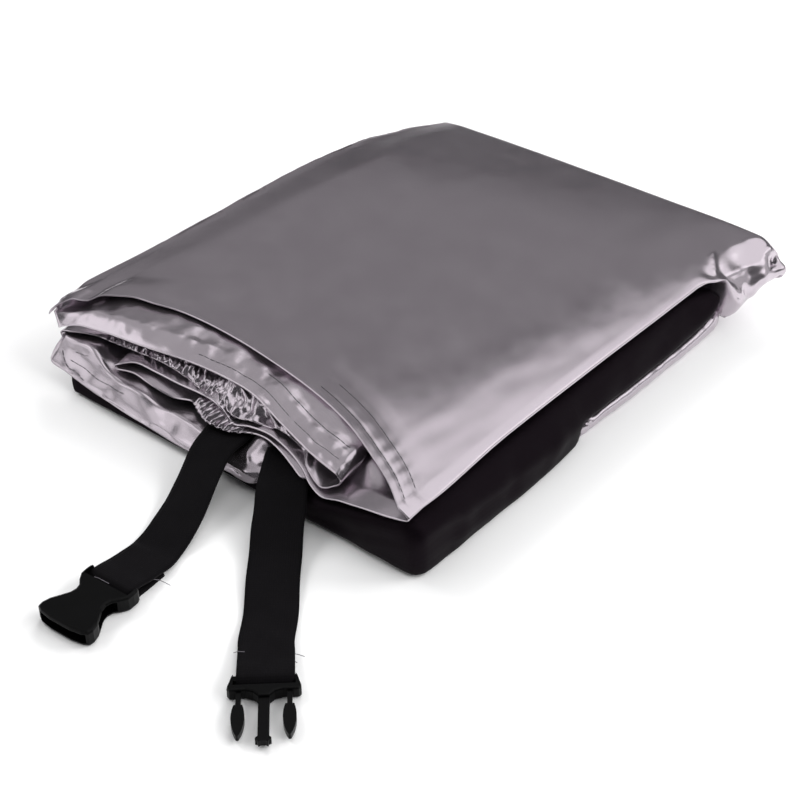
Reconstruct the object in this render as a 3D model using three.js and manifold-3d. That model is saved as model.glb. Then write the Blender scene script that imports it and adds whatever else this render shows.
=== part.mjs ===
// A motorcycle cover folded to a flat packet: silver coated cloth in two panels folded back
// and forth, a black lower panel wrapped round two sides, a silver end panel underneath, and
// two webbing straps that carry the two halves of a side-release buckle.
// Millimetres, +Z up. The origin is on the floor under the middle of the packet. +X runs
// along the side where the straps come out, +Y from the straps to the far side.

import * as THREE from 'three';
import Module from 'manifold-3d';
import { mergeVertices } from 'three/addons/utils/BufferGeometryUtils.js';

// Driving dimensions
const clothThickness = 1.8;
const webbingWidth = 25;
const webbingThickness = 1.5;
const clearance = 0.35;
const packetLeft = -122;
const foldRight = 118;
const packetBack = 150;
const halfCloth = clothThickness / 2;

// Height of the top of the packet, a row for each line across it from left to right
const heightStations = { left: -120, crown: -20, shoulder: 74, edge: 120 };
const heightRows = [
  { y: -158, left: 44.5, crown: 48.0, shoulder: 43.0, edge: 38.5 },
  { y: -90, left: 46.0, crown: 49.0, shoulder: 45.5, edge: 39.0 },
  { y: 10, left: 47.0, crown: 49.5, shoulder: 47.0, edge: 40.5 },
  { y: 80, left: 44.5, crown: 47.5, shoulder: 46.0, edge: 41.0 },
  { y: 152, left: 35.0, crown: 38.5, shoulder: 39.5, edge: 39.0 },
];

// Left and right outline of the packet seen from above
const outlineRows = [
  { y: -158, left: -122.5, right: 118.5 },
  { y: -50, left: -122.5, right: 118.5 },
  { y: 40, left: -125.0, right: 118.5 },
  { y: 86, left: -124.0, right: 115.5 },
  { y: 120, left: -118.5, right: 124.0 },
  { y: 152, left: -108.5, right: 128.0 },
];

// Silver outer panel. Each hem is listed from left to right, or as its layer runs.
const topHem = [
  { x: -122.5, y: -158.5, z: 43.0 },
  { x: -118.0, y: -150.5, z: 44.4 },
  { x: -112.0, y: -145.5, z: 45.0 },
  { x: -108.0, y: -139.0, z: 46.6 },
  { x: -94.0, y: -130.0, z: 47.2 },
  { x: -78.0, y: -125.0, z: 47.4 },
  { x: -60.0, y: -122.0, z: 47.4 },
  { x: -34.0, y: -120.5, z: 47.4 },
  { x: -5.0, y: -121.5, z: 47.0 },
  { x: 33.0, y: -125.5, z: 46.0 },
  { x: 64.0, y: -132.0, z: 44.0 },
  { x: 88.0, y: -141.0, z: 41.5 },
  { x: 104.0, y: -148.0, z: 39.2 },
  { x: 117.5, y: -156.5, z: 36.8 },
];
const secondHem = [
  { x: 117.0, y: -157.0, z: 30.6 },
  { x: 108.0, y: -157.8, z: 28.8 },
  { x: 94.0, y: -158.0, z: 26.0 },
  { x: 82.0, y: -158.2, z: 22.6 },
  { x: 71.0, y: -158.6, z: 19.4 },
  { x: 61.0, y: -156.0, z: 20.4 },
  { x: 53.0, y: -152.0, z: 22.2 },
  { x: 42.0, y: -149.0, z: 24.6 },
  { x: 24.0, y: -146.5, z: 26.6 },
  { x: 0.0, y: -145.0, z: 27.2 },
  { x: -24.0, y: -147.0, z: 27.4 },
  { x: -46.0, y: -149.0, z: 27.7 },
  { x: -66.0, y: -150.5, z: 27.8 },
  { x: -76.0, y: -156.0, z: 25.8 },
];
const strapHem = [
  { x: -76.0, y: -156.5, z: 22.8, gather: 0 },
  { x: -66.0, y: -153.5, z: 23.2, gather: 0 },
  { x: -53.0, y: -153.0, z: 21.2, gather: 0 },
  { x: -40.0, y: -150.5, z: 18.8, gather: 0 },
  { x: -29.0, y: -148.0, z: 20.4, gather: 0 },
  { x: -20.0, y: -151.5, z: 20.6, gather: 1 },
  { x: -11.0, y: -154.0, z: 19.8, gather: 1 },
  { x: -3.0, y: -153.5, z: 19.6, gather: 1 },
  { x: 5.0, y: -151.0, z: 20.2, gather: 1 },
  { x: 12.0, y: -147.5, z: 21.2, gather: 0.3 },
  { x: 22.0, y: -146.0, z: 22.4, gather: 0 },
  { x: 34.0, y: -148.5, z: 21.8, gather: 0 },
  { x: 45.0, y: -151.5, z: 20.0, gather: 0 },
  { x: 54.0, y: -154.0, z: 19.0, gather: 0 },
  { x: 59.0, y: -149.5, z: 18.6, gather: 0 },
  { x: 62.0, y: -141.0, z: 18.8, gather: 0 },
  { x: 65.0, y: -130.5, z: 19.4, gather: 0 },
  { x: 78.0, y: -128.0, z: 20.8, gather: 0 },
  { x: 106.0, y: -126.0, z: 22.0, gather: 0 },
];
const lowerHem = [
  { x: 106.0, y: -125.0, z: 9.5 },
  { x: 60.0, y: -125.0, z: 9.0 },
  { x: 0.0, y: -126.0, z: 8.4 },
  { x: -60.0, y: -127.0, z: 8.8 },
  { x: -112.0, y: -128.0, z: 9.6 },
];

// Silver inner panel
const bandHem = [
  { x: -119.5, y: -158.0, z: 33.4 },
  { x: -113.0, y: -156.5, z: 34.6 },
  { x: -103.0, y: -154.5, z: 36.6 },
  { x: -84.0, y: -151.5, z: 38.4 },
  { x: -63.0, y: -148.5, z: 39.2 },
  { x: -34.0, y: -142.5, z: 39.6 },
  { x: -12.0, y: -140.0, z: 39.4 },
  { x: 8.0, y: -140.0, z: 38.6 },
  { x: 32.0, y: -145.5, z: 36.4 },
  { x: 56.0, y: -150.5, z: 33.8 },
  { x: 76.0, y: -152.5, z: 31.6 },
];
const gatheredHem = [
  { x: 76.0, y: -153.5, z: 26.0, crumple: 0 },
  { x: 69.0, y: -156.5, z: 23.0, crumple: 0 },
  { x: 58.0, y: -153.0, z: 24.8, crumple: 0 },
  { x: 44.0, y: -148.0, z: 28.2, crumple: 0.3 },
  { x: 26.0, y: -144.0, z: 31.6, crumple: 1 },
  { x: 4.0, y: -141.0, z: 32.8, crumple: 1 },
  { x: -18.0, y: -142.0, z: 33.0, crumple: 1 },
  { x: -34.0, y: -144.0, z: 32.2, crumple: 0.4 },
  { x: -56.0, y: -145.5, z: 32.4, crumple: 0.25 },
  { x: -82.0, y: -146.5, z: 33.0, crumple: 0.25 },
  { x: -100.0, y: -149.0, z: 32.0, crumple: 0 },
  { x: -114.0, y: -156.0, z: 30.4, crumple: 0 },
];
const skirtHem = [
  { x: -117.0, y: -158.6, z: 25.6, bendX: -117.0, bendY: -156.5, bendZ: 27.0 },
  { x: -120.5, y: -163.0, z: 18.0, bendX: -116.5, bendY: -156.8, bendZ: 27.2 },
  { x: -121.0, y: -165.0, z: 11.6, bendX: -114.5, bendY: -157.2, bendZ: 27.2 },
  { x: -111.0, y: -164.8, z: 10.0, bendX: -108.0, bendY: -157.4, bendZ: 27.0 },
  { x: -98.0, y: -165.5, z: 9.2, bendX: -98.0, bendY: -157.0, bendZ: 26.4 },
  { x: -87.0, y: -166.0, z: 8.6, bendX: -87.0, bendY: -158.5, bendZ: 23.4 },
  { x: -76.0, y: -166.0, z: 8.0, bendX: -76.0, bendY: -160.0, bendZ: 19.4 },
  { x: -60.0, y: -165.5, z: 6.4, bendX: -60.0, bendY: -159.0, bendZ: 18.0 },
  { x: -44.0, y: -164.5, z: 5.2, bendX: -44.0, bendY: -157.5, bendZ: 15.2 },
  { x: -26.0, y: -164.0, z: 4.2, bendX: -26.0, bendY: -156.5, bendZ: 14.0 },
  { x: -10.0, y: -163.5, z: 3.6, bendX: -10.0, bendY: -156.0, bendZ: 13.4 },
  { x: 6.0, y: -163.8, z: 4.4, bendX: 6.0, bendY: -155.5, bendZ: 13.2 },
  { x: 17.0, y: -165.0, z: 3.2, bendX: 17.0, bendY: -154.5, bendZ: 12.8 },
  { x: 25.0, y: -163.6, z: 4.6, bendX: 25.0, bendY: -154.0, bendZ: 12.8 },
  { x: 31.0, y: -162.0, z: 8.4, bendX: 31.0, bendY: -153.0, bendZ: 13.2 },
  { x: 35.0, y: -155.0, z: 11.6, bendX: 34.5, bendY: -149.0, bendZ: 12.8 },
  { x: 38.0, y: -142.0, z: 13.0, bendX: 38.0, bendY: -138.0, bendZ: 13.5 },
  { x: 41.0, y: -131.0, z: 13.8, bendX: 41.0, bendY: -128.0, bendZ: 14.2 },
  { x: 66.0, y: -127.5, z: 16.4, bendX: 66.0, bendY: -124.0, bendZ: 16.8 },
  { x: 102.0, y: -125.0, z: 18.0, bendX: 102.0, bendY: -121.0, bendZ: 18.2 },
];
const innerHem = [
  { x: 102.0, y: -124.0, z: 14.2 },
  { x: 50.0, y: -124.0, z: 11.8 },
  { x: 0.0, y: -125.0, z: 11.2 },
  { x: -60.0, y: -126.0, z: 12.8 },
  { x: -114.0, y: -127.0, z: 15.2 },
];

// Black lower panel, a row for each section round the strap side, the corner and the folded
// side. keel is its inner end underneath, sill its lower bend, ridge the break in the wall,
// crest its upper bend and tuck its inner end above.
const blackSections = [
  { keel: [-100, -21.95, 0.9], sill: [-101, -167, 0.9], ridge: [-106, -164.6, 5],
    crest: [-110, -160.5, 9.4], tuck: [-108, -138, 8.8] },
  { keel: [-60, -21.95, 0.9], sill: [-60, -165, 0.9], ridge: [-60, -162.4, 4.6],
    crest: [-60, -158.5, 8.6], tuck: [-60, -137, 8] },
  { keel: [-18, -21.95, 0.9], sill: [-17, -162, 0.9], ridge: [-17, -160, 4.2],
    crest: [-17, -156, 7.8], tuck: [-17, -136, 7.4] },
  { keel: [12, -21.95, 0.9], sill: [18, -161.3, 0.9], ridge: [18, -159.6, 4.2],
    crest: [18, -156, 7.8], tuck: [18, -135, 7.4] },
  { keel: [26, -21.95, 0.9], sill: [36, -160.7, 0.9], ridge: [36, -159.8, 5],
    crest: [36, -156.5, 9], tuck: [36, -134, 8.8] },
  { keel: [36, -21.95, 0.9], sill: [48, -160.3, 0.9], ridge: [48, -160, 6.2],
    crest: [48, -158, 10.6], tuck: [48, -134, 10.6] },
  { keel: [40, -21.95, 0.9], sill: [56, -160.2, 0.9], ridge: [56, -160.2, 7.2],
    crest: [56, -158.5, 11.8], tuck: [56, -134, 12] },
  { keel: [44, -21.95, 0.9], sill: [65, -160.1, 0.9], ridge: [65, -160.3, 9],
    crest: [65, -159, 14], tuck: [65, -134, 14.4] },
  { keel: [48, -21.95, 0.9], sill: [75, -159.6, 0.9], ridge: [75, -160, 10],
    crest: [75, -158.8, 17.2], tuck: [75, -134, 17.2] },
  { keel: [54, -21.95, 0.9], sill: [92, -158.8, 0.9], ridge: [92, -159.4, 12],
    crest: [92, -158.2, 21.6], tuck: [86, -134, 21] },
  { keel: [60, -21.95, 0.9], sill: [117, -157.6, 0.9], ridge: [116.5, -158, 15],
    crest: [113, -157, 26.6], tuck: [94, -133, 24] },
  { keel: [63, -21.95, 0.9], sill: [126.5, -157, 0.9], ridge: [126, -157, 18],
    crest: [119.5, -155.5, 28.6], tuck: [97, -131.5, 25] },
  { keel: [66, -21.95, 0.9], sill: [130, -152.5, 0.9], ridge: [130, -152.5, 24],
    crest: [121.5, -151.5, 29], tuck: [99, -129, 25.4] },
  { keel: [72, -21.95, 0.9], sill: [130.3, -138, 0.9], ridge: [130.5, -138, 24],
    crest: [120, -138, 28.2], tuck: [100, -124, 25.6] },
  { keel: [77, -21.95, 0.9], sill: [130.4, -117, 0.9], ridge: [130.8, -117, 18],
    crest: [119, -117, 27.4], tuck: [100, -112, 26] },
  { keel: [84, -22.6, 0.9], sill: [130, -80, 0.9], ridge: [130.6, -80, 15.6],
    crest: [118.5, -80, 27.4], tuck: [100, -80, 26] },
  { keel: [92, -24, 0.9], sill: [128.6, -46, 0.9], ridge: [129.8, -46, 15.6],
    crest: [118.5, -46, 27.8], tuck: [100, -46, 26.4] },
  { keel: [104, -26.5, 0.9], sill: [127.2, -28, 0.9], ridge: [129, -28, 15.2],
    crest: [118.5, -28, 28.2], tuck: [100, -28, 26.8] },
  { keel: [113, -23.6, 10.9], sill: [124.8, -23.8, 10.9], ridge: [128.4, -23, 15],
    crest: [118.5, -21, 28.4], tuck: [100, -21, 27] },
  { keel: [114, 10, 10.9], sill: [124.4, 10, 10.9], ridge: [128, 10, 14.8],
    crest: [118.5, 10, 29], tuck: [100, 10, 27.6] },
  { keel: [114, 50, 10.9], sill: [124.4, 50, 10.9], ridge: [127.6, 50, 14.6],
    crest: [117.5, 50, 29], tuck: [100, 50, 27.6] },
  { keel: [113, 82, 11.2], sill: [123.6, 82, 11.2], ridge: [127, 82, 15.8],
    crest: [116, 80, 28], tuck: [100, 78, 26.8] },
  { keel: [112, 93, 12.4], sill: [123, 94, 12.6], ridge: [127, 95, 17.6],
    crest: [116, 91, 27.4], tuck: [100, 86, 26] },
  { keel: [111, 97, 16], sill: [121, 100, 17], ridge: [124.5, 101.5, 21],
    crest: [115, 97, 26], tuck: [101, 89, 25.4] },
];

// Silver end panel: its floor sheet, its low wall on the folded side and its tucked end
const endPanelRows = [
  { y: -21.6, left: -106, wall: 124.6, tuck: 114, height: 8 },
  { y: 20, left: -108, wall: 125.6, tuck: 114, height: 8 },
  { y: 72, left: -108, wall: 125.4, tuck: 113, height: 8 },
  { y: 98, left: -107, wall: 122.5, tuck: 110, height: 7.6 },
  { y: 108, left: -106, wall: 114.0, tuck: 102, height: 6 },
  { y: 116, left: -105, wall: 103.0, tuck: 92, height: 4.6 },
  { y: 130, left: -103, wall: 97.0, tuck: 85, height: 4.4 },
  { y: 144, left: -99, wall: 92.0, tuck: 80, height: 4.4 },
];

// Straps: the middle of the webbing from its sewn root to the buckle, and the buckle's seat
const leftStrap = {
  route: [
    { x: -2.0, y: -140.0, z: 17.0, heading: -76, roll: 2 },
    { x: 0.0, y: -149.0, z: 17.2, heading: -76, roll: 3 },
    { x: 1.6, y: -157.0, z: 17.2, heading: -76, roll: 6 },
    { x: 3.4, y: -165.0, z: 16.2, heading: -72, roll: 13 },
    { x: 6.2, y: -173.6, z: 13.0, heading: -66, roll: 19 },
    { x: 9.4, y: -181.5, z: 10.0, heading: -62, roll: 20 },
    { x: 13.1, y: -190.0, z: 7.5, heading: -61, roll: 18 },
    { x: 17.4, y: -201.0, z: 4.5, heading: -62, roll: 11 },
    { x: 21.2, y: -211.0, z: 2.8, heading: -67, roll: 7 },
    { x: 23.8, y: -221.0, z: 1.5, heading: -75, roll: 2 },
  ],
  buckle: { x: 28.7, y: -251.0, heading: -84 },
  halfShift: 0.4,
};
const rightStrap = {
  route: [
    { x: 33.5, y: -139.0, z: 16.2, heading: -66, roll: 0 },
    { x: 39.2, y: -148.0, z: 16.4, heading: -60, roll: 0 },
    { x: 45.0, y: -156.2, z: 16.8, heading: -55, roll: 0 },
    { x: 51.0, y: -164.6, z: 16.4, heading: -52, roll: 1 },
    { x: 57.3, y: -172.5, z: 12.6, heading: -50, roll: 2 },
    { x: 62.5, y: -179.8, z: 8.6, heading: -49, roll: 2 },
    { x: 70.4, y: -189.2, z: 4.4, heading: -48.5, roll: 1 },
    { x: 81.0, y: -202.0, z: 2.4, heading: -48, roll: 0 },
    { x: 94.4, y: -216.8, z: 1.2, heading: -47.5, roll: 0 },
  ],
  buckle: { x: 121.5, y: -247.3, heading: -46 },
  halfShift: -0.5,
};

// Buckle halves, in their own frames: the webbing bar's rear edge at y 0, +y to the tip
const barDepth = 2.8;
const barBottom = 2.4;
const barTop = 4.8;
const slotDepth = 3.6;
const slotHalfWidth = webbingWidth / 2 + 0.9;
const socket = {
  length: 35.5,
  height: 8.6,
  halfHollow: 14.0,
  floor: 1.6,
  roof: 7.0,
  hollowStart: 11.5,
};
const prongs = {
  bodyLength: 9.4,
  height: 6.4,
  armX: 10.9,
  neckHalfWidth: 1.1,
  leafHalfWidth: 2.9,
  leafLength: 16.9,
  neckLength: 7.1,
  guideHalfWidth: 2.4,
  guideLength: 24.4,
  barbHalfWidth: 3.4,
  barbLength: 3.2,
  floor: 1.7,
  roof: 4.9,
};

const colours = {
  silver: new THREE.Color(0x8b858a),
  black: new THREE.Color(0x1d1a1e),
  webbing: new THREE.Color(0x161417),
  plastic: new THREE.Color(0x121113),
};

const mix = (a, b, t) => a + (b - a) * t;
const clamp01 = (t) => Math.min(1, Math.max(0, t));
const ease = (t) => clamp01(t) ** 2 * (3 - 2 * clamp01(t));

// Value of one column of a table at a place along another, eased between its rows
function lookUp(rows, key, column, at) {
  let n = 1;
  while (n < rows.length - 1 && rows[n][key] < at) n += 1;
  const a = rows[n - 1];
  const b = rows[n];
  return mix(a[column], b[column], ease((at - a[key]) / (b[key] - a[key])));
}

// Middle surface of the top layer anywhere on the packet
function topMiddle(x, y) {
  const across = Object.entries(heightStations);
  const rows = across.map(([column, at]) => ({ x: at, z: lookUp(heightRows, 'y', column, y) }));
  return lookUp(rows, 'x', 'z', x) - halfCloth;
}

// Smooth curve through the rows of a hem, with each named column along it
function hemCurve(rows, columns) {
  const read = (t, column) => {
    const at = t * (rows.length - 1);
    const n = Math.min(rows.length - 2, Math.floor(at));
    const w = at - n;
    const near = (k) => rows[Math.min(rows.length - 1, Math.max(0, n + k))][column];
    const [before, start, end, after] = [-1, 0, 1, 2].map(near);
    const slopeIn = (end - before) / 2;
    const slopeOut = (after - start) / 2;
    const swing = ease(w);
    return mix(start, end, swing) + w * (1 - w) * (slopeIn * (1 - w) - slopeOut * w);
  };
  return (t) => Object.fromEntries(columns.map((column) => [column, read(t, column)]));
}

// Closed sheet of even thickness on a grid of points of its middle surface
function sheetSolid(grid, thickness) {
  const rows = grid.length;
  const columns = grid[0].length;
  const within = (n, count) => Math.min(count - 1, Math.max(0, n));
  const at = (j, i) => grid[within(j, rows)][within(i, columns)];
  const positions = [];
  for (const side of [0.5, -0.5]) {
    for (let j = 0; j < rows; j += 1) {
      for (let i = 0; i < columns; i += 1) {
        const across = at(j, i + 1).clone().sub(at(j, i - 1)).normalize();
        const along = at(j + 1, i).clone().sub(at(j - 1, i)).normalize();
        const normal = across.cross(along).normalize();
        const point = at(j, i).clone().addScaledVector(normal, side * thickness);
        positions.push(point.x, point.y, point.z);
      }
    }
  }
  const index = [];
  const quad = (a, b, c, d) => index.push(a, b, c, a, c, d);
  const under = rows * columns;
  for (let j = 0; j < rows - 1; j += 1) {
    for (let i = 0; i < columns - 1; i += 1) {
      const a = j * columns + i;
      quad(a, a + 1, a + columns + 1, a + columns);
      quad(under + a, under + a + columns, under + a + columns + 1, under + a + 1);
    }
  }
  for (let i = 0; i < columns - 1; i += 1) {
    const far = (rows - 1) * columns + i;
    quad(i + 1, i, under + i, under + i + 1);
    quad(far, far + 1, under + far + 1, under + far);
  }
  for (let j = 0; j < rows - 1; j += 1) {
    const near = j * columns;
    const end = near + columns - 1;
    quad(near, near + columns, under + near + columns, under + near);
    quad(end + columns, end, under + end, under + end + columns);
  }
  const geometry = new THREE.BufferGeometry();
  geometry.setAttribute('position', new THREE.Float32BufferAttribute(positions, 3));
  geometry.setIndex(index);
  return facingOut(geometry);
}

// The same geometry with its faces pointing out of the solid
function facingOut(geometry) {
  const p = geometry.attributes.position;
  const index = geometry.index.array;
  const corner = (n) => new THREE.Vector3().fromBufferAttribute(p, index[n]);
  let volume = 0;
  for (let n = 0; n < index.length; n += 3) {
    volume += corner(n).dot(corner(n + 1).cross(corner(n + 2))) / 6;
  }
  if (volume < 0) {
    for (let n = 0; n < index.length; n += 3) {
      [index[n], index[n + 1]] = [index[n + 1], index[n]];
    }
  }
  return geometry;
}

// One layer of a folded panel: its hem, its steps between the hem's rows and its settings
function layer(rows, steps, settings) {
  const curve = hemCurve(rows, Object.keys(rows[0]));
  return { curve, count: (rows.length - 1) * steps + 1, ...settings };
}

// Where the far side of the packet pulls the right-hand ends of the inner layers in
const pulledIn = { right: 84, fromY: 62, length: 26, spread: 0.25, widest: 106 };
// Where the right-hand fold drops at the far corner, and where the second layer is lifted
const cornerDrop = { fromX: 88, widthX: 24, fromY: 103, lengthY: 12, riseFromY: 114, riseLengthY: 34 };
const foldLift = { fromX: 108, widthX: 10 };
// Where the left edge of the top layer droops, and where each layer reaches full width
const droop = { fromX: -108, widthX: 14 };
const fullWidthAfter = 70;
const shareChange = { fromX: 55, widthX: 45 };
const backSpread = 1.5;

// A point of one layer: along its hem by t, and inwards from the hem by station
function layerPoint(part, t, station) {
  const hem = part.curve(t);
  const bendX = hem.bendX ?? hem.x;
  const bendY = hem.bendY ?? hem.y + part.rimDepth;
  const bendZ = hem.bendZ ?? hem.z + part.rimRise;
  if (station.run === 0) {
    const wave = part.relief ? part.relief(hem, station) : 0;
    const point = new THREE.Vector3(hem.x, hem.y, hem.z);
    point.lerp(new THREE.Vector3(bendX, bendY, bendZ), station.rim);
    point.z += wave;
    return point;
  }
  const y = mix(bendY, part.backY ?? packetBack - 4, station.run);
  const left = lookUp(outlineRows, 'y', 'left', y) + part.inset;
  const right = lookUp(outlineRows, 'y', 'right', y) - part.rightInset;
  const full = mix(left, right, clamp01((bendX - packetLeft) / (foldRight - packetLeft)));
  const spread = ease((y - bendY) / fullWidthAfter);
  let x = mix(bendX, full, spread);
  if (part.pulledIn) {
    const end = pulledIn.right - (pulledIn.widest - bendX) * pulledIn.spread;
    x = mix(x, Math.min(x, end), ease((y - pulledIn.fromY) / pulledIn.length));
  }
  const share = mix(part.share, part.shareRight, ease((x - shareChange.fromX) / shareChange.widthX));
  let z = topMiddle(x, y) * share;
  const beyond = ease((y - cornerDrop.fromY) / cornerDrop.lengthY);
  if (part.backDip) {
    const { low, high } = part.backDip;
    const dip = mix(low, high, ease((y - cornerDrop.riseFromY) / cornerDrop.riseLengthY));
    z = mix(z, dip, ease((x - cornerDrop.fromX) / cornerDrop.widthX) * beyond);
  }
  z += part.rightLift * ease((x - foldLift.fromX) / foldLift.widthX) * (1 - beyond);
  z -= part.leftDroop * ease((droop.fromX - x) / droop.widthX) * spread;
  const point = new THREE.Vector3(x, y, mix(bendZ, z, ease((y - bendY) / part.reach)));
  if (part.curlRadius) {
    const turn = station.curl * part.curlAngle;
    point.y += part.curlRadius * Math.sin(turn);
    point.z -= part.curlRadius * (1 - Math.cos(turn));
  } else {
    point.y += station.curl * backSpread;
  }
  return point;
}

// Points of the turn that joins the end of one layer to the start of the next
function turnPoints(from, to, side, bulge, steps) {
  const points = [];
  for (let n = 1; n <= steps; n += 1) {
    const angle = (Math.PI * n) / (steps + 1);
    const point = from.clone().lerp(to, (1 - Math.cos(angle)) / 2);
    point.x += side * bulge * Math.sin(angle);
    points.push(point);
  }
  return points;
}

function foldedPanel(layers, turns, stations) {
  return stations.map((station) => {
    const row = [];
    layers.forEach((part, n) => {
      const along = Array.from({ length: part.count }, (_, k) => k / (part.count - 1));
      const points = along.map((t) => layerPoint(part, t, station));
      if (n > 0) {
        const { side, bulge, steps } = turns[n - 1];
        row.push(...turnPoints(row[row.length - 1], points[0], side, bulge, steps));
      }
      row.push(...points);
    });
    return row;
  });
}

// Ribs of the elastic casing over the left strap, and the crumpled gathers behind it
const ribPitch = 3.4;
const ribHeight = 1.0;
const crumpleHeight = 1.7;
const crumpleTurns = { along: 0.71, slow: 0.23, inwards: 2.2 };

function casingRibs(hem, station) {
  const wave = Math.sin((hem.x * 2 * Math.PI) / ribPitch);
  return hem.gather * ribHeight * wave * (1 - station.rim * 0.5);
}

function crumples(hem, station) {
  const { along, slow, inwards } = crumpleTurns;
  const wave = Math.sin(hem.x * along + station.rim * inwards) * Math.cos(hem.x * slow);
  return hem.crumple * crumpleHeight * wave;
}

const hemStations = [
  { rim: 0, run: 0, curl: 0 },
  { rim: 0.5, run: 0, curl: 0 },
  { rim: 1, run: 0, curl: 0 },
];
const runStation = (run) => ({ rim: 1, run, curl: 0 });
const curlStation = (curl) => ({ rim: 1, run: 1, curl });
const outerRuns = [0.05, 0.13, 0.26, 0.44, 0.62, 0.76, 0.82, 0.855, 0.885, 0.93, 1];
const innerRuns = [0.06, 0.15, 0.3, 0.5, 0.7, 0.79, 0.88, 1];
const curls = [0.35, 0.7, 1];
const outerStations = [...hemStations, ...outerRuns.map(runStation), ...curls.map(curlStation)];
const innerStations = [...hemStations, ...innerRuns.map(runStation)];

// Settings shared by the layers. share is a layer's height as a part of the packet's, reach is
// how far in from its hem it takes that height, and the insets are its ends' places.
const plainLayer = {
  rimDepth: 10,
  rimRise: 0.3,
  reach: 60,
  inset: 0,
  rightInset: 0,
  rightLift: 0,
  leftDroop: 0,
  curlRadius: 0,
};
const outerLayers = {
  top: {
    share: 1, shareRight: 1, rimRise: 0.1, reach: 34, leftDroop: 1.5,
    backY: packetBack - 3, curlRadius: 6, curlAngle: 2.4,
  },
  second: {
    share: 0.7, shareRight: 0.795, inset: 12, rightLift: 1.5, backDip: { low: 5.2, high: 18 },
  },
  strap: {
    share: 0.575, shareRight: 0.58, inset: 12, rightInset: 10, pulledIn: true, relief: casingRibs,
  },
  lower: { share: 0.235, shareRight: 0.26, inset: 6, rightInset: 10, pulledIn: true },
};
const innerLayers = {
  band: {
    share: 0.905, shareRight: 0.93, rimDepth: 14, rimRise: 2.2, reach: 40, inset: 1.5, rightInset: 12,
  },
  gathered: { share: 0.8, shareRight: 0.865, inset: 6, rightInset: 12, relief: crumples },
  skirt: { share: 0.465, shareRight: 0.48, reach: 80, inset: 6, rightInset: 14, pulledIn: true },
  lower: { share: 0.355, shareRight: 0.375, inset: 10, rightInset: 14, pulledIn: true },
};

function outerPanel() {
  const layers = [
    layer(topHem, 1, { ...plainLayer, ...outerLayers.top }),
    layer(secondHem, 1, { ...plainLayer, ...outerLayers.second }),
    layer(strapHem, 2, { ...plainLayer, ...outerLayers.strap }),
    layer(lowerHem, 1, { ...plainLayer, ...outerLayers.lower }),
  ];
  const turns = [
    { side: 1, bulge: 6.5, steps: 5 },
    { side: -1, bulge: 2.2, steps: 3 },
    { side: 1, bulge: 4, steps: 4 },
  ];
  return sheetSolid(foldedPanel(layers, turns, outerStations), clothThickness);
}

function innerPanel() {
  const layers = [
    layer(bandHem, 2, { ...plainLayer, ...innerLayers.band }),
    layer(gatheredHem, 2, { ...plainLayer, ...innerLayers.gathered }),
    layer(skirtHem, 1, { ...plainLayer, ...innerLayers.skirt }),
    layer(innerHem, 2, { ...plainLayer, ...innerLayers.lower }),
  ];
  const turns = [
    { side: 1, bulge: 2.6, steps: 3 },
    { side: -1, bulge: 4, steps: 5 },
    { side: 1, bulge: 2, steps: 3 },
  ];
  return sheetSolid(foldedPanel(layers, turns, innerStations), clothThickness);
}

// Black panel: the sections joined in a loft, each bend cut by a short facet
const bendFacet = 1.6;
function blackPanel() {
  const keys = ['keel', 'sill', 'ridge', 'crest', 'tuck'];
  const corner = (points, n) => {
    if (n === 0 || n === points.length - 1) return [points[n]];
    return [points[n - 1], points[n + 1]].map((other) => {
      const way = other.clone().sub(points[n]);
      return points[n].clone().add(way.setLength(Math.min(bendFacet, way.length() * 0.35)));
    });
  };
  const section = (row) => {
    const points = keys.map((key) => new THREE.Vector3(...row[key]));
    const bent = points.flatMap((_, n) => corner(points, n));
    const middle = bent[0].clone().lerp(bent[1], 0.6);
    return [bent[0], middle, ...bent.slice(1)];
  };
  const sections = blackSections.map(section);
  const rows = [];
  sections.forEach((points, n) => {
    rows.push(points);
    if (n < sections.length - 1) {
      rows.push(points.map((point, k) => point.clone().lerp(sections[n + 1][k], 0.5)));
    }
  });
  return sheetSolid(rows, clothThickness);
}

function endPanel() {
  const low = halfCloth;
  const rows = endPanelRows.map((row) => {
    const bend = Math.min(bendFacet, (row.height - low) * 0.3);
    const section = [
      [row.left, low],
      [mix(row.left, row.wall, 0.25), low],
      [mix(row.left, row.wall, 0.5), low],
      [mix(row.left, row.wall, 0.75), low],
      [row.wall - 10, low],
      [row.wall - bend, low],
      [row.wall, low + bend],
      [row.wall, row.height - bend],
      [row.wall - bend, row.height],
      [row.tuck, row.height - 0.4],
    ];
    return section.map(([x, z]) => new THREE.Vector3(x, row.y, z));
  });
  return sheetSolid(rows, clothThickness);
}

// Webbing: from the root to the buckle, over its bar, down through the slot and back under
// itself, where its end is sewn
const foldedEnd = 19;
const gapToBar = clearance * 2.6 + webbingThickness / 2;
const barLoop = [
  { y: -24, z: 2.6 },
  { y: -17, z: 3.4 },
  { y: -10, z: 4.4 },
  { y: -4, z: barTop + gapToBar - 0.7 },
  { y: 0, z: barTop + gapToBar },
  { y: barDepth - 0.6, z: barTop + gapToBar },
  { y: barDepth + gapToBar - 0.3, z: barTop + 0.1 },
  { y: barDepth + gapToBar, z: mix(barBottom, barTop, 0.5) },
  { y: barDepth + gapToBar - 0.3, z: barBottom - 0.1 },
  { y: barDepth - 0.8, z: barBottom - gapToBar },
  { y: 0, z: barBottom - gapToBar - 0.1 },
  { y: -3.4, z: webbingThickness / 2 + 0.3 },
  { y: -8, z: webbingThickness / 2 },
  { y: -foldedEnd, z: webbingThickness / 2 },
];

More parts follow.
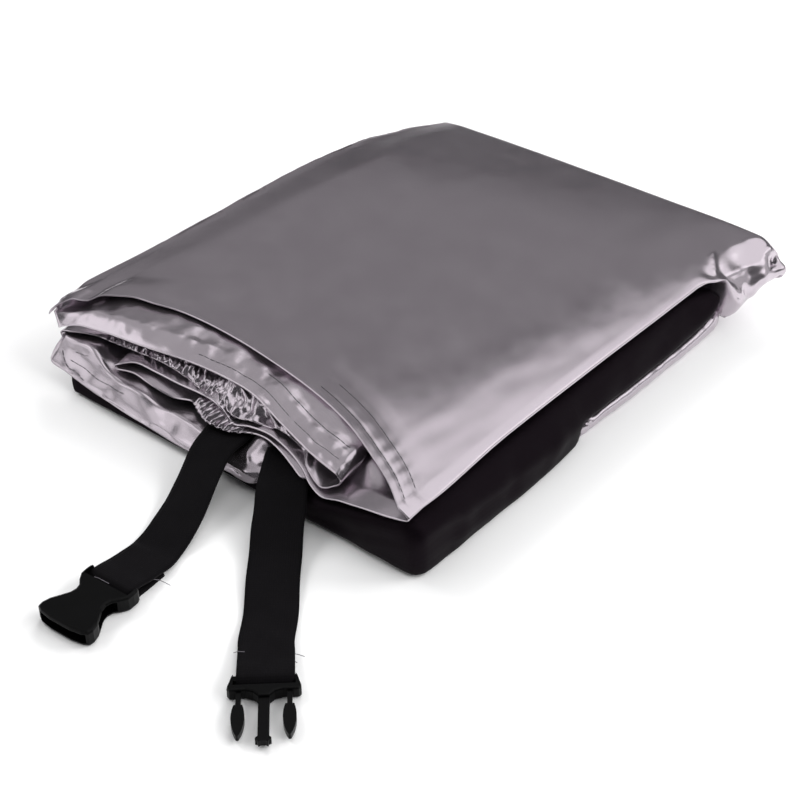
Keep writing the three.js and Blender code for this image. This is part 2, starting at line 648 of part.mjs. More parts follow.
function strap({ route, buckle }) {
  const heading = THREE.MathUtils.degToRad(buckle.heading);
  const forward = new THREE.Vector2(Math.cos(heading), Math.sin(heading));
  const loop = barLoop.map(({ y, z }) => ({
    x: buckle.x + forward.x * y,
    y: buckle.y + forward.y * y,
    z,
    heading: buckle.heading,
    roll: 0,
  }));
  const centres = hemCurve([...route, ...loop], ['x', 'y', 'z', 'heading', 'roll']);
  const steps = (route.length + loop.length - 1) * 2;
  const rows = Array.from({ length: steps + 1 }, (_, n) => {
    const at = centres(n / steps);
    const angle = THREE.MathUtils.degToRad(at.heading);
    const roll = THREE.MathUtils.degToRad(at.roll);
    const across = new THREE.Vector3(-Math.sin(angle), Math.cos(angle), Math.tan(roll));
    across.setLength(webbingWidth / 2);
    const centre = new THREE.Vector3(at.x, at.y, at.z);
    return [-1, 0, 1].map((side) => centre.clone().addScaledVector(across, side));
  });
  return sheetSolid(rows, webbingThickness);
}

// Solids of the buckle halves
const wasm = await Module();
wasm.setup();

function toManifold(geometry) {
  const bare = geometry.index ? geometry.clone() : geometry;
  bare.deleteAttribute('normal');
  bare.deleteAttribute('uv');
  const merged = mergeVertices(bare, 1e-4);
  return new wasm.Manifold(new wasm.Mesh({
    numProp: 3,
    vertProperties: new Float32Array(merged.attributes.position.array),
    triVerts: new Uint32Array(merged.index.array),
  }));
}

function fromManifold(solid) {
  const mesh = solid.getMesh();
  const geometry = new THREE.BufferGeometry();
  geometry.setAttribute('position', new THREE.Float32BufferAttribute(mesh.vertProperties, 3));
  geometry.setIndex(Array.from(mesh.triVerts));
  return geometry;
}

// Solid of a plan outline between two heights, with its edges eased by a bevel
function plate(outline, bottom, top, bevel = 0) {
  const shape = new THREE.Shape(outline.map(([x, y]) => new THREE.Vector2(x, y)));
  const geometry = new THREE.ExtrudeGeometry(shape, {
    depth: top - bottom - 2 * bevel,
    bevelEnabled: bevel > 0,
    bevelSize: bevel,
    bevelThickness: bevel,
    bevelOffset: -bevel,
    bevelSegments: 2,
  });
  geometry.translate(0, 0, bottom + bevel);
  return toManifold(geometry);
}

// Outline symmetrical about the buckle's long axis, from half widths along it
function mirrored(halves, centre = 0) {
  const right = halves.map(([half, y]) => [centre + half, y]);
  const left = halves.map(([half, y]) => [centre - half, y]).reverse();
  return [...right, ...left];
}

const webbingSlot = () => plate(
  mirrored([[slotHalfWidth, barDepth], [slotHalfWidth, barDepth + slotDepth]]), -1, 20,
);

// The bar that the webbing passes round: cloth room above and below it
const barRoom = mirrored([[slotHalfWidth, -1], [slotHalfWidth, barDepth + 0.1]]);
const aboveBar = () => plate(barRoom, barTop, 20);
const belowBar = () => plate(barRoom, -1, barBottom);
const webbingRoom = () => webbingSlot().add(aboveBar()).add(belowBar());

function buckleSocket() {
  const end = socket.length;
  const outline = mirrored([
    [14.0, 0], [14.6, 1.2], [14.8, 4], [14.6, 7.2], [12.6, 10.4], [10.0, 13.2],
    [9.3, 16], [9.9, 19], [12.2, 23], [14.6, 27], [15.7, 31], [15.3, end - 1.8],
    [12.4, end - 0.2], [6, end + 0.8],
  ]);
  const body = plate(outline, 0, socket.height, 1.3);
  const hollowOutline = mirrored([
    [socket.halfHollow, socket.hollowStart], [socket.halfHollow, end + 2],
  ]);
  const hollow = plate(hollowOutline, socket.floor, socket.roof);
  return fromManifold(body.subtract(hollow).subtract(webbingRoom()));
}

function buckleProngs() {
  const shoulder = prongs.bodyLength;
  const body = plate(mirrored([
    [13.6, 0], [14.3, 1.2], [15.0, 4], [15.8, 6.6], [15.9, 8.2], [14.8, shoulder],
    [8.0, shoulder - 0.2], [4.6, shoulder + 1.0], [prongs.guideHalfWidth, shoulder + 3.2],
  ]), 0, prongs.height, 1.0);
  const guideEnd = shoulder + prongs.guideLength;
  const half = prongs.guideHalfWidth;
  const barb = prongs.barbHalfWidth;
  const guide = plate(mirrored([
    [half, shoulder - 1], [half, guideEnd], [barb, guideEnd + 0.9], [barb, guideEnd + 1.9],
    [half, guideEnd + 2.3], [half - 0.3, guideEnd + prongs.barbLength],
    [0.9, guideEnd + prongs.barbLength - 0.6],
  ]), prongs.floor, prongs.roof);
  const leafStart = shoulder + prongs.neckLength;
  const leafProfile = Array.from({ length: 11 }, (_, n) => {
    const t = n / 10;
    const swell = Math.sin(Math.PI * (0.16 + t * 0.84)) ** 0.6;
    return [Math.max(prongs.leafHalfWidth * swell, 0.5), leafStart + prongs.leafLength * t];
  });
  let solid = body.add(guide);
  for (const side of [-1, 1]) {
    const arm = plate(mirrored([
      [prongs.neckHalfWidth, shoulder - 1], [prongs.neckHalfWidth, leafStart - 0.1], ...leafProfile,
    ], side * prongs.armX), prongs.floor, prongs.roof);
    solid = solid.add(arm);
  }
  return fromManifold(solid.subtract(webbingRoom()));
}

function piece(name, geometry, colour, roughness, metalness) {
  const material = new THREE.MeshStandardMaterial({ color: colour, roughness, metalness });
  const mesh = new THREE.Mesh(geometry, material);
  mesh.name = name;
  return mesh;
}

function seated(mesh, { buckle, halfShift }) {
  const heading = THREE.MathUtils.degToRad(buckle.heading);
  mesh.position.set(buckle.x - Math.sin(heading) * halfShift, buckle.y + Math.cos(heading) * halfShift, 0);
  mesh.rotation.z = heading - Math.PI / 2;
  return mesh;
}

const silver = (name, geometry) => piece(name, geometry, colours.silver, 0.42, 0.65);
const webbing = (name, geometry) => piece(name, geometry, colours.webbing, 0.8, 0);
const plastic = (name, geometry) => piece(name, geometry, colours.plastic, 0.35, 0);

const cover = new THREE.Group();
cover.add(silver('silver_outer_panel', outerPanel()));
cover.add(silver('silver_inner_panel', innerPanel()));
cover.add(silver('silver_end_panel', endPanel()));
cover.add(piece('black_lower_panel', blackPanel(), colours.black, 0.7, 0));
cover.add(webbing('strap_left', strap(leftStrap)));
cover.add(webbing('strap_right', strap(rightStrap)));
cover.add(seated(plastic('buckle_socket_half', buckleSocket()), leftStrap));
cover.add(seated(plastic('buckle_prong_half', buckleProngs()), rightStrap));

export default cover;
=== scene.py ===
# %% [markdown]
# # A folded motorcycle cover
# The object is a motorcycle cover of silver coated cloth with a black lower part, folded to a
# flat packet. Two webbing straps come out of its front side and carry the two halves of a
# buckle. The frame below brings in the plain solids of the same object. They show where each
# panel lies, and this lesson dresses them: every cloth becomes a thin sheet with its hems,
# creases and stitching, and every surface gets a finish of its own.

# %% Load the frame
import math

import bmesh
import bpy
from mathutils import Matrix, Vector, noise


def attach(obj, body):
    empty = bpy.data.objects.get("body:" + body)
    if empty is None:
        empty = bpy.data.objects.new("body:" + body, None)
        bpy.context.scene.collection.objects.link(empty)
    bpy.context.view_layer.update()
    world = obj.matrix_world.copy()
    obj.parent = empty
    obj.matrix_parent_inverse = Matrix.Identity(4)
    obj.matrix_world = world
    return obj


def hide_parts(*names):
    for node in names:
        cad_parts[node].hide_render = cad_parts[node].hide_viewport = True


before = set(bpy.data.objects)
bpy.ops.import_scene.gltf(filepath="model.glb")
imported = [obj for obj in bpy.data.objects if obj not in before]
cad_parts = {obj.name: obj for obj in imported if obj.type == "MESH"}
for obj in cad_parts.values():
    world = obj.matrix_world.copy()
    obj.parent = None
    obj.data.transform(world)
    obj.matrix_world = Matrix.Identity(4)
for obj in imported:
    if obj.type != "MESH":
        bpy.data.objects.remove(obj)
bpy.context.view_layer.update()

MM = 0.001

# %% [markdown]
# ## The camera
# The packet was photographed from above its front corner with a short telephoto lens. A camera
# could be fitted by eye, but here it comes from the picture: straight edges of known direction
# gave the two angles, and the webbing's width of 25 mm gave the distance.

# %% Place the camera
PICTURE_SIDE = 800
FOCAL_PIXELS = 1607
CAMERA_PLACE = (479, -570.8, 513)
CAMERA_AZIMUTH = 41
CAMERA_ELEVATION = 37


def add_object(name, data):
    """A new object of the scene, made of a mesh, a lamp or a camera's data."""
    made = bpy.data.objects.new(name, data)
    bpy.context.scene.collection.objects.link(made)
    return made


azimuth, elevation = math.radians(CAMERA_AZIMUTH), math.radians(CAMERA_ELEVATION)
looking = Vector((
    -math.sin(azimuth) * math.cos(elevation),
    math.cos(azimuth) * math.cos(elevation),
    -math.sin(elevation),
))
camera = add_object("camera", bpy.data.cameras.new("camera"))
camera.data.sensor_width = 36
camera.data.lens = FOCAL_PIXELS / PICTURE_SIDE * camera.data.sensor_width
camera.location = Vector(CAMERA_PLACE) * MM
camera.rotation_euler = looking.to_track_quat("-Z", "Y").to_euler()
bpy.context.scene.camera = camera
print("lens, mm:", round(camera.data.lens, 1))

# %% [markdown]
# ## Measures along tables
# A folded cloth has no simple formula, but its main lines can be written down. Short tables with
# named columns give each hem and each section in millimetres, and a smooth curve runs through
# the rows. That keeps the sizes readable and the surface free of kinks.

# %% Tables and smooth curves
def table(columns, rows):
    names = columns.split()
    return [dict(zip(names, row)) for row in rows]


def mix(a, b, t):
    return a + (b - a) * t


def clamp01(t):
    return min(1.0, max(0.0, t))


def ease(t):
    t = clamp01(t)
    return t * t * (3 - 2 * t)


def ramp(at, start, width):
    """Eased step from 0 at its start to 1 a width further on. It falls where width is below 0."""
    return ease((at - start) / width)


def bump(distance, width):
    """A rounded ridge across a line: 1 on the line, next to nothing past twice its width."""
    return math.exp(-(distance / width) ** 2)


def look_up(rows, key, column, at):
    """Value of a column where another column has the value at, eased between the rows."""
    n = 1
    while n < len(rows) - 1 and rows[n][key] < at:
        n += 1
    a, b = rows[n - 1], rows[n]
    return mix(a[column], b[column], ramp(at, a[key], b[key] - a[key]))


def smooth_through(points, at):
    """Height of a smooth curve through (place, height) points. It is level past its ends."""
    slopes = [(b[1] - a[1]) / (b[0] - a[0]) for a, b in zip(points, points[1:])]
    leans = []
    for n, (before, after) in enumerate(zip(slopes, slopes[1:])):
        start, here, end = (points[n + k][0] for k in (0, 1, 2))
        leans.append(mix(before, after, (here - start) / (end - start)))
    leans = [2 * slopes[0] - leans[0], *leans, 2 * slopes[-1] - leans[-1]]
    n = 0
    while n < len(slopes) - 1 and points[n + 1][0] < at:
        n += 1
    width = points[n + 1][0] - points[n][0]
    w = clamp01((at - points[n][0]) / width)
    lean = leans[n] * (1 - w) - leans[n + 1] * w
    return mix(points[n][1], points[n + 1][1], ease(w)) + width * w * (1 - w) * lean


def curve_through(rows):
    """Smooth curve through the rows: every column of it at t, from 0 at the first row to 1."""
    last = len(rows) - 1

    def read(t):
        at = clamp01(t) * last
        n = min(last - 1, int(at))
        w = at - n
        before, start, end, after = (rows[min(last, max(0, n + k))] for k in (-1, 0, 1, 2))
        swing, lean = ease(w), w * (1 - w)
        return {
            name: mix(start[name], end[name], swing)
            + lean * ((end[name] - before[name]) * (1 - w) - (after[name] - start[name]) * w) / 2
            for name in start
        }

    return read


print("eased, at a quarter of the way:", ease(0.25))

# %% The packet's outline and height
heights = table("y left crown shoulder brow edge", [
    (-158, 46.3, 48, 44.6, 41, 38.5), (-90, 47.8, 49, 47.1, 43.7, 38.8),
    (10, 48.3, 49.5, 48.4, 46, 39.8), (80, 45.5, 48, 47.7, 46.3, 39.8),
    (154, 35.5, 39.5, 41.5, 42.3, 42.5),
])
HEIGHT_STATIONS = {"left": -120, "crown": -20, "shoulder": 60, "brow": 96, "edge": 120}
outline = table("y left right", [
    (-158, -124, 118), (-50, -124, 117.2), (40, -126, 117.2), (86, -125, 117), (120, -119.5, 125.5),
    (154, -109.5, 132.5),
])
chamfer = table("y line drop", [
    (96, 118, 0), (104, 118, 2.5), (112, 116.5, 5.5), (127, 115.5, 7), (140, 118, 6.6),
    (150, 122, 5.6),
])
CHAMFER_SOFT = 2
SOLID_HALF = 0.9
PACKET_LEFT, FOLD_RIGHT, PACKET_BACK = -123.5, 118, 152


def corner_drop(x, y):
    """How far the top slopes down towards its right edge, beyond the pinch at the fold."""
    at = max(y, chamfer[0]["y"])
    line, drop = (look_up(chamfer, "y", key, at) for key in ("line", "drop"))
    edge = look_up(outline, "y", "right", y)
    return drop * ease((x - line + CHAMFER_SOFT) / (edge - line + 2 * CHAMFER_SOFT))


def top_height(x, y):
    across = [
        (at, smooth_through([(row["y"], row[side]) for row in heights], y))
        for side, at in HEIGHT_STATIONS.items()
    ]
    return smooth_through(across, x) - SOLID_HALF


print("height over the middle, mm:", round(top_height(0, 0), 1))

# %% [markdown]
# ## The silver cloth's hems
# The cover's body is one cloth doubled and folded back and forth, so four hems lie one over the
# other on the strap side. The outer half of the doubled cloth has the top hem, the two hems
# beside the straps and the lowest one. The inner half has the pale band under the top hem, the
# gathered edge and the skirt that hangs to the floor at the left.

# %% Hems of the outer panel
top_hem = table("x y z hang", [
    (-124.1, -159.8, 38.2, 3.6), (-122.5, -157.8, 41.8, 2.4), (-117.6, -149.9, 45.2, 1.2),
    (-113, -147.7, 45.5, 0.9), (-108.4, -144.9, 46, 0.6), (-105, -139.6, 47.6, 0.2),
    (-97.2, -134.3, 48.2, 0), (-88.8, -129.6, 48.4, 0), (-77, -126.5, 48.2, 0), (-60, -122, 48, 0),
    (-34, -120.5, 48, 0), (-5, -121.5, 47.6, 0), (33, -125.5, 46.6, 0), (64, -132, 44.6, 0),
    (88, -141, 42.1, 0), (104, -148, 39.8, 0), (117.5, -156.5, 37.4, 0),
])
second_hem = table("x y z", [
    (117, -157, 30.6), (108, -157.8, 28.8), (94, -158, 26), (82, -158.2, 22.6), (71, -158.6, 19.4),
    (61, -156, 20.4), (53, -152, 22.2), (42, -149, 24.6), (28, -147.2, 26.8), (14, -148, 25.6),
    (4, -149.6, 22.8), (-1, -149.4, 24.6), (-6, -149, 28), (-13, -148.6, 29.4), (-24, -147.6, 28),
    (-46, -149, 27.7), (-66, -150.5, 27.8), (-76, -156, 25.8),
])
strap_hem = table("x y z gather hang", [
    (-76, -156.5, 22.8, 0, 1), (-66, -153.5, 23.2, 0, 1), (-53, -153, 21.2, 0, 3),
    (-40, -150.5, 18.8, 0, 4), (-29, -148, 20.4, 0, 3), (-20, -151.5, 20.6, 1, 6),
    (-11, -154, 19.6, 1, 7), (-3, -153.8, 19.2, 1, 6), (4, -152, 19.2, 1, 3),
    (12, -148, 20.8, 0.3, 3), (22, -146.5, 22.2, 0, 3), (34, -148.5, 21.8, 0, 3),
    (45, -151.5, 20, 0, 4), (54, -154, 19, 0, 3), (59, -149.5, 18.6, 0, 1), (62, -141, 18.8, 0, 0),
    (65, -130.5, 19.4, 0, 0), (78, -128, 20.8, 0, 0), (106, -126, 22, 0, 0),
])
lower_hem = table("x y z", [
    (106, -125, 9.5), (60, -125, 9), (0, -126, 8.4), (-60, -127, 8.8), (-112, -128, 9.6),
])
print("outer panel:", len(top_hem) + len(second_hem) + len(strap_hem) + len(lower_hem), "rows")

# %% Hems of the inner panel
band_hem = table("x y z deep rise out reach", [
    (-119.5, -158, 30.6, 1.5, 7.4, 4.6, 6), (-114.5, -156.8, 33, 4, 5.6, 3, 22),
    (-108.5, -155.8, 35.6, 7, 5.4, 1.5, 30), (-102, -154.3, 36.8, 8.5, 6, 0, 26),
    (-84, -151.5, 38.4, 9.5, 6, 0, 16), (-63, -148.5, 39.2, 10.5, 5.4, 0, 14),
    (-34, -142.5, 39.6, 13, 4.4, 0, 14), (-12, -140, 39.4, 14, 4.3, 0, 14),
    (8, -140, 38.6, 14, 4.3, 0, 14), (32, -145.5, 36.4, 14, 4.6, 0, 14),
    (56, -150.5, 33.8, 14, 5.4, 0, 14), (76, -152.5, 31.6, 14, 5.9, 0, 14),
])
gathered_hem = table("x y z crumple facet hang", [
    (76, -153.5, 26, 0, 0, 0), (69, -156.5, 23, 0, 0, 1), (58, -153, 24.8, 0, 0.2, 3),
    (48, -147, 28.6, 0, 0.6, 3), (40, -145.2, 30.6, 0.1, 1, 4), (31, -145.4, 31.6, 0.2, 1, 4),
    (20, -146, 29.4, 0.05, 1, 6), (9, -146.8, 26.8, 0.1, 1, 9), (1.5, -147.6, 25.8, 0.4, 1, 10),
    (-6, -147.4, 28.8, 0.8, 0.6, 8), (-12.5, -147, 30.4, 1, 0.2, 6), (-20, -146.4, 29.6, 1, 0, 5.5),
    (-27, -146.2, 30.6, 0.9, 0, 5), (-36, -146.6, 33, 0.8, 0, 3.5), (-44, -147, 34.4, 0.9, 0, 2),
    (-54, -147.2, 34.2, 1, 0, 1.5), (-67, -147.4, 32.9, 1, 0, 1), (-79, -147.6, 31.2, 1, 0, 1),
    (-90, -148, 29.8, 0.7, 0, 0.5), (-101, -149.5, 29.4, 0, 0, 0), (-114, -156, 29.6, 0, 0, 0),
])
skirt_hem = table("x y z bend_x bend_y bend_z reach", [
    (-117, -158.6, 25.6, -117, -156.5, 27, 80), (-120.5, -163, 18, -116.5, -156.8, 27.2, 80),
    (-121, -165, 11.6, -114.5, -157.2, 27.2, 80), (-111, -164.8, 10, -108, -157.4, 27, 80),
    (-98, -165.5, 9.2, -98, -157, 26.4, 80), (-87, -166, 8.6, -87, -158.5, 23.4, 80),
    (-76, -166, 8, -76, -160, 19.4, 80), (-60, -165.5, 6.4, -60, -159, 18, 80),
    (-44, -164.5, 5.2, -44, -157.5, 15.2, 80), (-26, -164, 4.2, -26, -156.5, 14, 80),
    (-10, -163.4, 4.4, -10, -157.5, 13, 70), (2, -162.8, 5.2, 2, -160.5, 11.4, 40),
    (9, -162.8, 5.4, 9, -161.4, 10.8, 40), (14.5, -162.8, 5.4, 14.5, -161.6, 10.8, 25),
    (20, -162.8, 5.4, 20, -161.4, 10.6, 20), (26, -162.2, 5.6, 26, -160.6, 10.6, 34),
    (31, -160.5, 8, 30.5, -158, 11, 60), (35, -154, 11.2, 34.5, -150, 12.2, 80),
    (38, -142, 13, 38, -138, 13.5, 80), (41, -131, 13.8, 41, -128, 14.2, 80),
    (66, -127.5, 16.4, 66, -124, 16.8, 80), (102, -125, 18, 102, -121, 18.2, 80),
])
inner_hem = table("x y z", [
    (102, -124, 14.2), (50, -124, 11.8), (0, -125, 11.2), (-60, -126, 12.8), (-114, -127, 15.2),
])
print("inner panel:", len(band_hem) + len(gathered_hem) + len(skirt_hem) + len(inner_hem), "rows")

# %% [markdown]
# ## Creases
# A cloth simulation would give lively creases, but not these ones. Each crease that shows is a
# line laid on the cloth with a width and a height: a ridge where the height is positive, a
# trough where it isn't. Soft noise between them keeps any part from lying dead flat.

# %% Creases and soft unevenness
CREASE_REACH = 4
CREASE_ENDS, CREASE_FULLNESS = (0.08, 0.92), 0.7


def creases(*rows):
    """Creases from rows that give a width, a height and the points of a line."""
    return [(width, height, [Vector(p) for p in points]) for width, height, *points in rows]


def along_line(point, start, end):
    """Distance of a point from a stretch of line, and how far along the stretch it lies."""
    run = end - start
    t = clamp01((point - start).dot(run) / run.length_squared)
    return (point - start - run * t).length, t


def crease_height(lines, point):
    """Height of all creases at a point. Each one fades out towards its two ends."""
    total = 0.0
    for width, height, points in lines:
        length = sum((b - a).length for a, b in zip(points, points[1:]))
        if (point - points[0]).length > CREASE_REACH * width + length:
            continue
        nearest, place = math.inf, 0.0
        for n in range(len(points) - 1):
            distance, t = along_line(point, points[n], points[n + 1])
            if distance < nearest:
                nearest, place = distance, (n + t) / (len(points) - 1)
        fade = math.sin(math.pi * mix(*CREASE_ENDS, place)) ** CREASE_FULLNESS
        total += height * bump(nearest, width) * fade
    return total


def unevenness(x, y, z, size, seed):
    """Soft noise between about -1 and 1, with lumps of the given size in millimetres."""
    return noise.noise(Vector((x / size + seed, y / size - seed, z / size + seed * 0.5)))


def lumps(x, y, z, *noises):
    """Sum of soft noises, each given by its height, the size of its lumps and its seed."""
    return sum(height * unevenness(x, y, z, size, seed) for height, size, seed in noises)


print("noise near the origin:", round(unevenness(0.3, 0.2, 0.1, 1, 0), 3))

# %% Relief of a stitched hem
HEM_ROWS, HEM_STEP, HEM_SLOPE = (5.5, 13.5), 0.3, 3
STITCH_PULL, STITCH_WIDTH = 0.35, 1.1
PUCKER_HEIGHT, PUCKER_PITCH, PUCKER_REACH = 0.3, 8.5, 7


def stitched_hem(depth, along, strength):
    """The doubled cloth of a hem: a step, two pulled-in stitch rows and puckers between them."""
    low, high = HEM_ROWS
    step = HEM_STEP * ramp(depth, high + HEM_SLOPE, -HEM_SLOPE)
    pull = -STITCH_PULL * (bump(depth - low, STITCH_WIDTH) + bump(depth - high, STITCH_WIDTH))
    wave = math.sin(along * 2 * math.pi / PUCKER_PITCH + lumps(along, 0, 0, (2.2, 21, 0)))
    uneven = 0.5 + lumps(along, depth, 0, (0.5, 17, 9))
    pucker = PUCKER_HEIGHT * wave * uneven * bump(depth - mix(low, high, 0.5), PUCKER_REACH)
    return strength * (step + pull + pucker)


print("hem relief on the stitches, mm:", round(stitched_hem(HEM_ROWS[0], 2, 1), 2))

# %% Relief of the outer panel's layers
RIB_HEIGHT, RIB_PITCH, RIB_SLANT, CASING_SWELL = 0.9, 3.9, 0.3, 1.6
top_creases = creases(
    (9, 0.25, (-96, -128, 0), (-40, -60, 0), (10, 20, 0)),
    (8, -0.2, (-60, -118, 0), (-6, -60, 0), (60, -8, 0)),
    (10, 0.2, (-110, 90, 0), (-60, 60, 0), (10, 50, 0)),
    (3, 0.3, (96, 66, 0), (108, 52, 0), (116, 38, 0)),
    (3.5, 0.3, (92, 34, 0), (106, 16, 0), (116, 0, 0)),
    (3, -0.25, (94, 14, 0), (106, -4, 0), (116, -22, 0)),
)


def top_relief(hem, depth, x, y, along):
    """A nearly smooth top, with small dents beside the fold and a stitched hem at the right."""
    soft = lumps(x, y, 0, (0.35, 70, 0), (0.08, 21, 3)) * ramp(depth, 0, 12)
    side = lumps(x * 2.1, y, 0, (0.22, 19, 5)) * ramp(x, 78, 26) * (1 - ramp(y, 96, 10))
    hemmed = stitched_hem(depth, along, 0.55 * ramp(x, 20, 50))
    return soft + side + hemmed + crease_height(top_creases, Vector((x, y, 0)))


def second_relief(hem, depth, x, y, along):
    """Soft lumps that die away inwards."""
    return lumps(x, y, 0, (0.5, 14, 7)) * bump(depth, 26)


def strap_relief(hem, depth, x, y, along):
    """Fine slanted ribs where elastic gathers the casing over the straps."""
    slanted = x - RIB_SLANT * depth
    ribs = math.sin(slanted * 2 * math.pi / RIB_PITCH + lumps(x, depth, 0, (2.4, 6, 0)))
    ribs += lumps(slanted, depth * 0.5, 0, (1.4, 2.6, 51))
    casing = RIB_HEIGHT * ribs * bump(depth - 3, 7) + CASING_SWELL * bump(depth - 4, 4.5)
    return hem["gather"] * casing + lumps(x, y, 0, (0.5, 12, 11)) * bump(depth, 30)


def hidden_relief(hem, depth, x, y, along):
    return lumps(x, y, 0, (0.3, 25, 43))


print("top relief at its middle, mm:", round(top_relief({}, 120, 0, 0, 150), 2))

# %% Relief of the inner panel's layers
PLEAT_HEIGHT, FRILL_HEIGHT, FRILL_PITCH = 1.2, 0.35, 2.9
FACET_HEIGHT, RUFFLE_DROP = 2.9, 1.9


def band_relief(hem, depth, x, y, along):
    """Crushed cloth behind the band's hem, which is stitched from the middle to the right."""
    crushed = lumps(x, y * 0.8, 0, (0.9, 17, 13)) + lumps(x, y * 0.7, 0, (0.7, 8, 17))
    crushed += lumps(x, y, 0, (0.2, 3.5, 21))
    return crushed * ramp(depth, 0, 4) + stitched_hem(depth, along, 0.6 * ramp(x, 10, 30))


def gathered_relief(hem, depth, x, y, along):
    """Pleats, frills and a ruffled edge where the hem is gathered, and flat facets beside it."""
    swerve = 0.25 * depth + lumps(x, depth, 0, (1.5, 8, 29))
    pleats = 1 - 2.6 * abs(unevenness(x + swerve, depth * 0.35, 0, 2.7, 19))
    frills = math.sin(x * 2 * math.pi / FRILL_PITCH + lumps(x, depth, 0, (5, 4, 23)))
    facets = 0.6 - 2.4 * abs(unevenness(x + 0.6 * depth, depth, 0, 7.5, 31))
    crumple = hem["crumple"] * (PLEAT_HEIGHT * pleats + FRILL_HEIGHT * frills)
    crumple *= 1 + 1.5 * bump(depth, 2)
    crumple += FACET_HEIGHT * hem["facet"] * facets
    ruffle = -RUFFLE_DROP * hem["crumple"] * bump(depth, 2.4)
    return crumple * bump(depth - 5, 9) + ruffle + lumps(x, y, 0, (0.4, 13, 33))


def skirt_relief(hem, depth, x, y, along):
    """Large crushed folds, strongest near the floor."""
    crushed = lumps(x, depth * 1.3, 0, (2.6, 19, 37)) + lumps(x, depth, 0, (1.9, 9, 41))
    crushed += lumps(x, depth, 0, (0.25, 3.5, 45))
    return crushed * ramp(depth, 0, 2.5) * bump(depth, 40)


print("skirt relief, mm:", round(skirt_relief({}, 12, -60, 0, 150), 2))

# %% [markdown]
# ## Folding the panels
# Each panel is one flat grid of cloth, made with create_grid, whose points are then carried to
# their places: across the grid runs a layer, then a turn, then the next layer back the other
# way, and up the grid runs the way in from the hem. The folds are made by the mapping itself, so
# the cloth stays in one piece however often it turns.

# %% Settings of a layer
def layer(rows, relief, columns, share, **settings):
    """One layer of a folded panel. share is its height, left and right, over the packet's."""
    part = {
        "curve": curve_through(rows), "relief": relief, "columns": columns, "share": share,
        "lean": 0, "rim_depth": 10, "rim_rise": 0.3, "reach": 60, "inset": 0, "right_inset": 0,
        "right_lift": 0, "left_droop": 0, "back_y": PACKET_BACK - 4, "curl_radius": 0,
        "curl_angle": 0, "back_dip": None, "pulled_in": False, "busy": None, "tucked": 0,
        "rounded": 0,
    } | settings
    part["stations"] = even_stations(part)
    return part


def even_stations(part, samples=600):
    """Places along a hem that are evenly spaced, closer together where the hem is gathered."""
    rows = [part["curve"](n / samples) for n in range(samples + 1)]
    lengths = [0.0]
    for a, b in zip(rows, rows[1:]):
        step = math.dist((a["x"], a["y"], a["z"]), (b["x"], b["y"], b["z"]))
        weight = 1 + 2 * a.get(part["busy"], 0)
        lengths.append(lengths[-1] + step * weight)
    stations, n = [], 0
    for k in range(part["columns"]):
        wanted = lengths[-1] * k / (part["columns"] - 1)
        while n < samples - 1 and lengths[n + 1] < wanted:
            n += 1
        stations.append((n + (wanted - lengths[n]) / (lengths[n + 1] - lengths[n])) / samples)
    return stations


plain = layer(lower_hem, hidden_relief, 14, (0.235, 0.26))
print("a plain layer has", len(plain["stations"]), "columns and a rim of", plain["rim_depth"], "mm")

# %% Where a layer's cloth lies
# Each pair says where a change starts, across or along the packet, and how wide it is.
PULL_ALONG, PULL_END = (62, 26), {"x": 84, "spread": 0.25, "widest": 106}
CORNER_ACROSS, CORNER_ALONG, CORNER_RISE = (88, 24), (107, 9), (116, 34)
FOLD_LIFT, DROOP, SHARE_CHANGE = (108, 10), (-94, -30), (55, 45)
FULL_WIDTH_AFTER = 70
BACK_SPREAD = 1.5
LEAN_REACH = 8
HEM_LENGTH = 300


